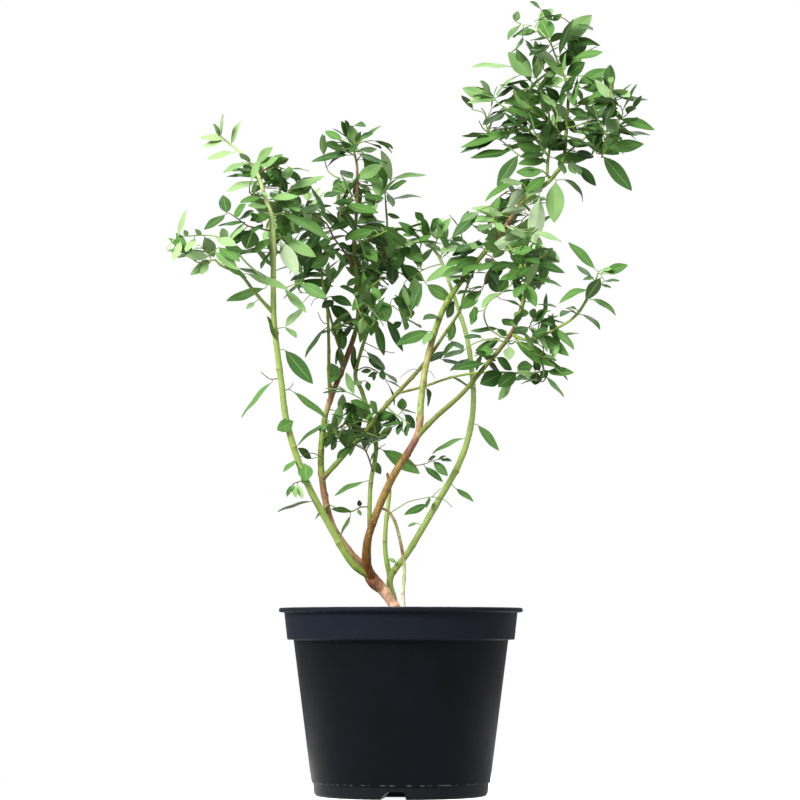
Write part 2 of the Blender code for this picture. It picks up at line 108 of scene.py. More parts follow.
# Limbs from foot to tip: across, away, up and radius, in millimetres
LIMBS = {
    "trunk": [
        (5, 2, 156.3, 8.6), (0, 1, 167, 5.8), (-6, 0, 177, 4.9), (-16, -2, 192, 5.2),
        (-24, -4, 199.5, 6.5), (-30, -6, 208, 5.6),
    ],
    "cane_left": [
        (-27, -7, 205, 3.4), (-46, -14, 218, 3.3), (-66, -22, 251, 3.2), (-90, -34, 297, 3.2),
        (-106, -45, 346, 3.0), (-112, -52, 389, 2.8),
    ],
    "cane_left_top": [
        (-112, -52, 389, 2.8), (-118, -59, 438, 2.7), (-119, -60, 470, 2.6), (-119, -60, 517, 2.4),
    ],
    "bough_left_arm": [
        (-118, -59, 448, 1.6), (-136, -70, 468, 1.5), (-149, -84, 483, 1.4), (-165, -98, 489, 1.3),
    ],
    "cane_middle": [
        (-27, -3, 204, 3.4), (-37, 2, 217, 3.4), (-50, 6, 231, 3.3), (-67, 10, 259, 3.2),
        (-76, 15, 307, 3.1),
    ],
    "cane_middle_top": [
        (-76, 15, 307, 3.1), (-74, 20, 351, 2.7), (-66, 25, 380, 2.6), (-52, 30, 417, 2.7),
        (-42, 34, 451, 2.2), (-42, 38, 488, 2.0),
    ],
    "bough_middle_left": [
        (-67, 24, 376, 2.0), (-69, 19, 398, 1.7), (-69, 12, 426, 1.5), (-70, 4, 457, 1.3),
    ],
    "bough_middle_right": [
        (-75, 13.5, 299, 2.4), (-59, 12, 316, 2.3), (-34, 8, 344, 2.2), (-10, 6, 373, 2.1),
        (21, 6, 407, 1.8), (43, 8, 439, 1.5), (56, 12, 459, 1.3),
    ],
    "bough_low_right": [
        (-4, 6, 380, 1.2), (18, 2, 385, 1.2), (47, -4, 394, 1.1), (70, -18, 397, 1.1), (90, -29, 397, 1.0),
    ],
    "cane_right": [
        (-28, -8, 205, 3.8), (-33, -17, 224, 3.8), (-28, -22, 251, 3.6), (-9, -26, 296, 3.5),
        (15, -28, 337, 3.3),
    ],
    "bough_high_right": [
        (15, -28, 337, 3.3), (19, -25, 371, 3.0), (25, -18, 411, 2.9), (39, -8, 456, 2.7),
        (57, 0, 486, 2.4),
    ],
    "bough_high_right_top": [
        (57, 0, 486, 2.4), (79, 6, 514, 2.3), (99, 8, 539, 2.2), (117, 8, 564, 2.1), (140, 5, 582, 2.0),
    ],
    "bough_right": [
        (13, -28, 334, 2.4), (32.5, -33, 354, 2.3), (57.5, -40, 376, 2.1), (78, -48, 400, 2.1),
        (92, -53, 416, 2.1), (104, -58, 433, 1.9), (113, -61, 456, 1.8), (116, -62, 474, 1.6),
    ],
    "bough_right_arm": [
        (103, -57, 430, 1.4), (120, -64, 424, 1.4), (147, -76, 435, 1.3), (162, -86, 445, 1.3),
        (172, -96, 460, 1.2),
    ],
    "shoot_foot": [(-3, 13, 156.3, 4.2), (-4, 12, 172, 3.4), (-7, 12, 185, 3.2), (-10, 12, 205, 3.1)],
    "shoot_stub": [
        (-10, 12, 203, 2.3), (-15, 15, 231, 2.2), (-14, 17, 260, 2.1), (-11, 18, 286, 1.8),
        (-13, 18, 304, 1.3),
    ],
    "cane_green": [
        (-10, 12, 205, 3.0), (8, 17, 231, 3.0), (35, 26, 277, 3.0), (55, 33, 313, 3.0), (66, 39, 345, 2.8),
        (70, 44, 381, 2.6),
    ],
    "cane_green_top": [(70, 44, 381, 2.6), (65, 49, 432, 2.3), (54, 52, 471, 1.9), (39, 54, 513, 1.6)],
    "cane_slim": [
        (-26, -1, 203, 2.1), (-30, 9, 216, 2.1), (-30, 12, 255, 2.1), (-29, 16, 293, 2.1),
        (-24, 23, 334, 2.1),
    ],
    "cane_slim_top": [
        (-24, 23, 334, 2.1), (-37, 33, 382, 2.1), (-44, 38, 399, 2.0), (-39, 44, 423, 1.7),
        (-29, 52, 455, 1.5), (-23, 57, 490, 1.4),
    ],
    "stem_dead": [
        (4, -12, 156.3, 1.9), (2, -8, 189, 1.6), (3, -4, 216, 1.6), (-3, 0, 249, 1.5), (-10, 2, 265, 1.3),
        (-17, 2, 270, 1.0),
    ],
}

# How the limbs run on into the crown: pixels across and down, and millimetres away, radius
CROWN_ENDS = {
    "cane_left_top": [
        (272, 226, -60, 2.3), (270, 212, -59, 2.2), (266, 200, -58, 2.1), (262, 187, -57, 1.9),
        (257, 173, -55, 1.7), (249, 161, -54, 1.4), (240, 152, -53, 1.2), (230, 144, -52, 1.0),
        (220, 136, -51, 0.7),
    ],
    "bough_left_arm": [(215, 260, -101, 1.0), (208, 262, -103, 0.7)],
    "cane_middle_top": [
        (355, 262, 40, 1.9), (354, 240, 42, 1.8), (356, 220, 44, 1.6), (357, 200, 46, 1.5),
        (357, 182, 47, 1.4), (357, 166, 48, 1.2), (354, 152, 48, 1.0), (350, 138, 48, 0.8),
        (348, 128, 48, 0.6),
    ],
    "bough_middle_left": [(325, 299, 2, 1.2), (323, 286, -1, 1.0), (321, 272, -4, 0.7)],
    "bough_middle_right": [(463, 298, 12, 1.2), (468, 284, 10, 1.0), (474, 271, 8, 0.8)],
    "bough_low_right": [(514, 373, -34, 0.9), (531, 373, -40, 0.8), (546, 371, -44, 0.7)],
    "bough_high_right_top": [
        (556, 173, 3, 1.9), (562, 164, 1, 1.8), (565, 150, -1, 1.7), (566, 135, -3, 1.6),
        (567, 120, -4, 1.5), (568, 105, -5, 1.4), (568, 90, -6, 1.3), (564, 76, -6, 1.1),
        (559, 64, -6, 1.0), (554, 52, -6, 0.9), (550, 40, -6, 0.6),
    ],
    "bough_right": [(526, 276, -62, 1.4), (525, 265, -62, 1.0)],
    "bough_right_arm": [(594, 285, -98, 1.0), (598, 273, -100, 0.7)],
    "cane_green_top": [(435, 251, 54, 1.5), (427, 240, 54, 1.3), (421, 229, 54, 1.1), (417, 220, 54, 0.7)],
    "cane_slim_top": [
        (381, 268, 58, 1.3), (385, 250, 60, 1.2), (387, 235, 61, 1.1), (387, 221, 62, 1.0),
        (386, 207, 62, 0.9), (385, 193, 62, 0.6),
    ],
}

BARK_COLOURS = {
    "salmon": colour(230, 188, 156),
    "tan": colour(198, 150, 116),
    "knot": colour(126, 84, 60),
    "rust": colour(142, 94, 66),
    "umber": colour(120, 84, 28),
    "ochre": colour(144, 114, 50),
    "red": colour(112, 64, 32),
    "brown": colour(132, 88, 58),
    "plum": colour(122, 78, 66),
    "pink": colour(178, 144, 106),
    "grey": colour(152, 126, 104),
    "khaki": colour(168, 160, 94),
    "olive": colour(124, 132, 52),
    "moss": colour(110, 127, 44),
    "leaf": colour(130, 158, 64),
    "light": colour(150, 176, 88),
    "pale": colour(176, 204, 128),
    "straw": colour(186, 198, 132),
    "bone": colour(214, 208, 186),
}


# The bark: how dense its ridges, lumps and loose flakes are for each metre, and how far they stand off
RIDGES = Vector((900, 900, 160))
LUMPS = 90
LUMP_SHARE = 0.06  # of the radius
FLAKES = Vector((330, 330, 120))
FLAKE_LIMIT = 0.7
FLAKE_SHARE = 0.55
KNOT_START = 0.6  # the first leaf scar, and the gaps between them, as shares of the finish's own gap
KNOT_GAPS = (0.7, 1.25)
SCAR_REACH = 0.006
SCAR_LENGTH = 0.0011
SCAR_ROUND = 0.45  # how much of a scar goes right round the limb
SWELLING_LENGTH = 0.0026
SWELLING = 0.07  # of the radius, all round and on the bud's side
BUD_SWELLING = 0.22
LIMB_SIDES = ((2.0, 14), (4.5, 20), (math.inf, 36))  # under this radius in millimetres, this many sides


class LimbFinish(NamedTuple):
    """What one limb is made of: the solids it stands for, its slot, its colours along it and its bark."""

    nodes: tuple
    slot: str
    stops: tuple  # share of the way along, name of the colour
    roughness: float = 0.5
    flaking: float = 0.0  # how far loose bark stands off, in millimetres
    knots: float = 24.0  # millimetres between its leaf scars
    flare: float = 0.3  # how much thicker its foot is


LIMB_FINISHES = {
    "trunk": LimbFinish(
        ("trunk",),
        "bark",
        (
            (0.0, "brown"), (0.06, "salmon"), (0.7, "salmon"), (0.76, "tan"), (0.82, "knot"),
            (1.0, "rust"),
        ),
        roughness=0.7, flaking=0.75, knots=40.0, flare=0.0,
    ),
    "cane_left": LimbFinish(
        ("cane_left", "cane_left_top"),
        "green_cane",
        (
            (0.0, "olive"), (0.05, "leaf"), (0.13, "light"), (0.62, "light"), (0.8, "straw"),
            (1.0, "pale"),
        ),
        knots=31.0, flare=0.15,
    ),
    "bough_left_arm": LimbFinish(
        ("bough_left_arm",),
        "green_cane",
        ((0.0, "brown"), (0.05, "leaf"), (0.6, "leaf"), (1.0, "pale")),
        knots=17.0,
    ),
    "cane_middle": LimbFinish(
        ("cane_middle", "cane_middle_top"),
        "green_cane",
        (
            (0.0, "rust"), (0.07, "pink"), (0.17, "pink"), (0.22, "brown"), (0.26, "leaf"),
            (0.35, "leaf"), (0.39, "pink"), (0.43, "plum"), (0.52, "brown"), (0.57, "leaf"),
            (0.78, "olive"), (0.88, "plum"), (1.0, "leaf"),
        ),
        roughness=0.6, flaking=0.25, knots=27.0, flare=0.1,
    ),
    "bough_middle_left": LimbFinish(
        ("bough_middle_left",),
        "green_cane",
        ((0.0, "plum"), (0.12, "olive"), (1.0, "leaf")),
        knots=19.0,
    ),
    "bough_middle_right": LimbFinish(
        ("bough_middle_right",),
        "green_cane",
        ((0.0, "brown"), (0.05, "leaf"), (0.5, "olive"), (1.0, "leaf")),
        knots=29.0,
    ),
    "bough_low_right": LimbFinish(
        ("bough_low_right",),
        "green_cane",
        ((0.0, "olive"), (0.5, "leaf"), (1.0, "light")),
        knots=21.0,
    ),
    "cane_right": LimbFinish(
        ("cane_right", "bough_high_right", "bough_high_right_top"),
        "red_cane",
        (
            (0.0, "red"), (0.03, "umber"), (0.09, "umber"), (0.13, "ochre"), (0.2, "ochre"),
            (0.23, "plum"), (0.25, "pink"), (0.27, "pink"), (0.29, "light"), (0.4, "khaki"),
            (0.45, "leaf"), (0.6, "leaf"), (0.66, "plum"), (0.72, "leaf"), (1.0, "leaf"),
        ),
        roughness=0.5, flaking=0.15, knots=33.0, flare=0.1,
    ),
    "bough_right": LimbFinish(
        ("bough_right",),
        "green_cane",
        (
            (0.0, "pink"), (0.04, "moss"), (0.55, "moss"), (0.72, "plum"), (0.78, "moss"),
            (1.0, "light"),
        ),
        knots=30.0,
    ),
    "bough_right_arm": LimbFinish(
        ("bough_right_arm",),
        "green_cane",
        ((0.0, "leaf"), (0.6, "light"), (1.0, "leaf")),
        knots=15.0,
    ),
    "cane_green": LimbFinish(
        ("shoot_foot", "cane_green", "cane_green_top"),
        "green_cane",
        ((0.0, "pink"), (0.03, "leaf"), (0.12, "light"), (0.6, "light"), (1.0, "pale")),
        knots=38.0, flare=0.0,
    ),
    "shoot_stub": LimbFinish(
        ("shoot_stub",),
        "green_cane",
        ((0.0, "leaf"), (0.7, "light"), (0.92, "olive"), (1.0, "brown")),
        knots=26.0,
    ),
    "cane_slim": LimbFinish(
        ("cane_slim", "cane_slim_top"),
        "green_cane",
        ((0.0, "olive"), (0.1, "leaf"), (0.6, "leaf"), (0.85, "plum"), (1.0, "leaf")),
        knots=25.0, flare=0.1,
    ),
    "stem_dead": LimbFinish(
        ("stem_dead",),
        "dead_wood",
        (
            (0.0, "bone"), (0.2, "bone"), (0.45, "straw"), (0.62, "brown"), (0.75, "straw"),
            (1.0, "brown"),
        ),
        roughness=0.75, flaking=0.2, knots=18.0, flare=0.1,
    ),
}


class Route(NamedTuple):
    """A listed shoot: pixels across and down with millimetres away, its radii and how leafy it is."""

    points: tuple
    thick: float
    thin: float
    wood: str = "green"
    leafy: float = 0.0


# The shoots that show, by the part of the crown
SHOOTS = {
    "left": [
        Route(
            ((271, 283, -60), (262, 276, -66), (251, 267, -75), (243, 259, -82), (235, 249, -89),
            (226, 240, -94), (215, 236, -98), (203, 235, -101), (190, 236, -105), (178, 237, -109),
            (170, 244, -112)),
            1.2, 0.5, "pale",
        ),
        Route(
            ((270, 231, -60), (258, 228, -62), (248, 226, -64), (238, 219, -66), (229, 213, -68)),
            0.9, 0.5, "brown",
        ),
        Route(((268, 206, -58), (279, 200, -46), (290, 191, -36), (299, 181, -30)), 1.1, 0.6, "green", 1.0),
        Route(((258, 175, -55), (266, 169, -48), (275, 166, -40), (286, 170, -33)), 1.0, 0.5, "brown", 1.0),
        Route(((273, 240, -60), (284, 237, -51), (297, 244, -41), (310, 255, -33)), 1.0, 0.5, "green", 0.8),
        Route(((271, 216, -59), (284, 213, -48), (297, 217, -36), (312, 226, -26)), 1.0, 0.5, "green", 1.0),
        Route(((273, 380, -52), (268, 378, -54), (261, 372, -57)), 0.6, 0.35, "brown"),
        Route(((286, 391, -46), (291, 387, -47), (293, 383, -48)), 0.5, 0.35, "brown"),
    ],
    "middle": [
        Route(
            ((355, 268, 40), (344, 251, 31), (334, 238, 21), (326, 223, 9), (312, 214, -4),
            (300, 206, -11), (290, 197, -16)),
            1.1, 0.6, "brown", 0.8,
        ),
        Route(
            ((345, 361, 28), (337, 341, 22), (331, 319, 16), (326, 299, 10), (323, 284, 6),
            (321, 268, 3)),
            1.5, 0.8, "olive", 0.7,
        ),
        Route(((357, 300, 37), (364, 292, 12), (372, 286, -14), (381, 279, -30)), 1.3, 0.6, "green", 1.2),
        Route(((356, 250, 41), (366, 240, 20), (376, 236, 0), (386, 231, -12)), 1.1, 0.6, "green", 1.2),
        Route(((357, 212, 45), (344, 206, 36), (333, 203, 28)), 0.9, 0.5, "green", 1.2),
        Route(((352, 322, 34), (361, 318, 22), (369, 312, 12), (376, 300, 4)), 1.0, 0.5, "green", 1.0),
        Route(((386, 232, 61), (396, 228, 52), (406, 228, 46)), 0.9, 0.5, "green", 1.2),
        Route(
            ((385, 408, 6), (378, 413, 2), (368, 404, -2), (356, 396, -6), (347, 392, -8)),
            1.0, 0.5, "green", 1.0,
        ),
        Route(((374, 424, 8), (362, 421, 6), (350, 425, 4), (340, 431, 6)), 1.0, 0.5, "green", 1.2),
        Route(((386, 406, 6), (395, 414, 0), (404, 420, -4), (410, 424, -6)), 0.9, 0.5, "green", 0.8),
        Route(((373, 472, 14), (368, 456, 11), (361, 441, 9), (356, 426, 7)), 0.9, 0.6, "brown", 0.6),
        Route(((355, 372, 38), (366, 367, 35), (378, 372, 31), (386, 380, 28)), 0.8, 0.4, "brown", 0.8),
        Route(((322, 299, 2), (315, 296, -2), (307, 293, -6), (298, 293, -9)), 0.6, 0.3, "brown"),
        Route(((311, 294, -4), (306, 299, -6), (301, 305, -8)), 0.4, 0.25, "brown"),
        Route(((317, 297, -1), (313, 301, -3), (311, 306, -5)), 0.4, 0.25, "brown"),
        Route(((327, 326, 8), (321, 320, 4), (318, 312, 0)), 0.5, 0.3, "brown"),
        Route(((372, 346, 46), (380, 350, 42), (388, 352, 39), (395, 353, 36)), 0.5, 0.3, "brown"),
        Route(((428, 240, 54), (441, 250, 46), (455, 262, 34)), 0.9, 0.5, "pale"),
        Route(((423, 373, -14), (415, 369, -12), (407, 372, -10), (400, 378, -8)), 0.4, 0.2, "brown"),
        Route(((422, 374, -14), (430, 371, -15), (435, 379, -16)), 0.35, 0.2, "brown"),
    ],
    "right": [
        Route(((461, 271, 0), (464, 257, 2), (463, 243, 4), (460, 229, 6)), 1.2, 0.6, "green", 1.0),
        Route(((498, 234, 7), (495, 224, 5), (492, 214, 3), (489, 206, 1)), 1.0, 0.5, "green", 0.6),
        Route(((486, 251, 6), (496, 252, -2), (508, 250, -10), (520, 247, -18)), 1.1, 0.6, "green", 1.0),
        Route(((506, 226, 8), (518, 232, -4), (531, 240, -14), (544, 247, -20)), 1.0, 0.5, "pale", 0.3),
        Route(((484, 253, 6), (493, 259, 0), (488, 273, -8), (482, 290, -12)), 0.7, 0.4, "brown", 0.5),
        Route(((526, 276, -62), (519, 262, -58), (512, 250, -52), (505, 240, -46)), 1.0, 0.5, "green", 1.0),
        Route(((526, 272, -62), (534, 262, -60), (543, 256, -57)), 0.9, 0.5, "green", 0.8),
        Route(
            ((503, 338, -55), (489, 328, -49), (484, 315, -45), (488, 303, -43), (500, 294, -45),
            (512, 284, -48)),
            0.9, 0.5, "green", 0.5,
        ),
        Route(((510, 335, -57), (515, 324, -55), (518, 313, -52), (521, 303, -49)), 1.0, 0.5, "pale", 0.4),
        Route(((502, 341, -55), (491, 339, -50), (480, 341, -45), (469, 346, -41)), 0.9, 0.5, "green", 0.9),
        Route(((496, 348, -54), (486, 352, -50), (474, 356, -46)), 0.8, 0.4, "brown", 0.8),
        Route(((530, 339, -63), (540, 336, -62), (552, 338, -62), (562, 345, -63)), 0.9, 0.5, "green", 1.0),
        Route(((512, 334, -57), (520, 343, -58), (530, 350, -60), (542, 357, -62)), 0.9, 0.5, "green", 0.8),
        Route(((497, 372, -29), (488, 376, -27), (481, 379, -25)), 0.8, 0.5, "green", 0.9),
        Route(((577, 313, -80), (571, 310, -82), (566, 308, -84)), 0.6, 0.4, "brown"),
    ],
    "crest": [
        Route(
            ((547, 178, 5), (548, 160, 8), (550, 145, 10), (550, 130, 12), (549, 115, 14),
            (547, 103, 15), (542, 94, 16), (536, 86, 18), (529, 80, 20)),
            1.7, 0.7, "green", 0.5,
        ),
        Route(
            ((548, 156, 8), (541, 146, 10), (533, 136, 12), (526, 127, 14), (518, 117, 16),
            (508, 109, 18), (499, 104, 19), (494, 98, 20)),
            1.3, 0.6, "green", 0.3,
        ),
        Route(
            ((547, 162, 8), (535, 159, 10), (522, 157, 12), (511, 149, 14), (502, 141, 16),
            (494, 137, 18)),
            1.0, 0.5, "green", 0.3,
        ),
        Route(
            ((566, 154, 0), (573, 148, -6), (582, 140, -12), (592, 134, -18), (603, 132, -24),
            (612, 130, -28)),
            1.2, 0.5, "green", 0.5,
        ),
        Route(
            ((568, 113, -5), (578, 106, -10), (588, 99, -15), (600, 95, -20), (611, 92, -24)),
            1.1, 0.5, "green", 0.7,
        ),
        Route(((565, 80, -6), (574, 76, -10), (584, 76, -14)), 0.9, 0.5, "green", 1.0),
        Route(((556, 57, -6), (564, 56, -10), (572, 57, -14)), 0.8, 0.5, "green", 0.6),
        Route(((543, 96, 16), (539, 84, 12), (535, 74, 8)), 0.9, 0.5, "green", 0.6),
        Route(((550, 42, -6), (543, 34, -4), (535, 27, -2), (521, 24, 2)), 0.7, 0.4, "pale"),
        Route(((567, 128, -3), (576, 126, -16), (586, 122, -28)), 1.0, 0.5, "green", 1.2),
        Route(((549, 122, 13), (540, 116, 2), (530, 112, -8)), 1.0, 0.5, "green", 1.2),
        Route(((566, 140, -3), (560, 134, -18), (556, 124, -28)), 1.0, 0.5, "green", 1.2),
        Route(((551, 178, 4), (541, 170, -6), (530, 168, -12)), 1.0, 0.5, "green", 1.0),
    ],
    "low": [
        Route(((305, 480, -35), (298, 482, -38), (292, 484, -42)), 0.6, 0.35, "brown"),
        Route(
            ((371, 507, 13), (361, 507, 12), (350, 512, 11), (339, 509, 9), (328, 504, 8)),
            0.8, 0.5, "olive",
        ),
        Route(
            ((389, 513, 17), (398, 508, 18), (408, 502, 20), (420, 499, 21), (432, 497, 22),
            (443, 499, 22), (452, 507, 22)),
            0.6, 0.35, "green",
        ),
        Route(
            ((405, 459, -25), (414, 465, -12), (424, 464, 4), (432, 461, 14), (441, 459, 20)),
            0.6, 0.4, "brown",
        ),
        Route(((432, 497, 22), (437, 492, 20), (441, 488, 18)), 0.4, 0.25, "brown"),
        Route(((318, 455, -12), (311, 453, -16), (300, 457, -20)), 0.5, 0.3, "brown"),
    ],
}
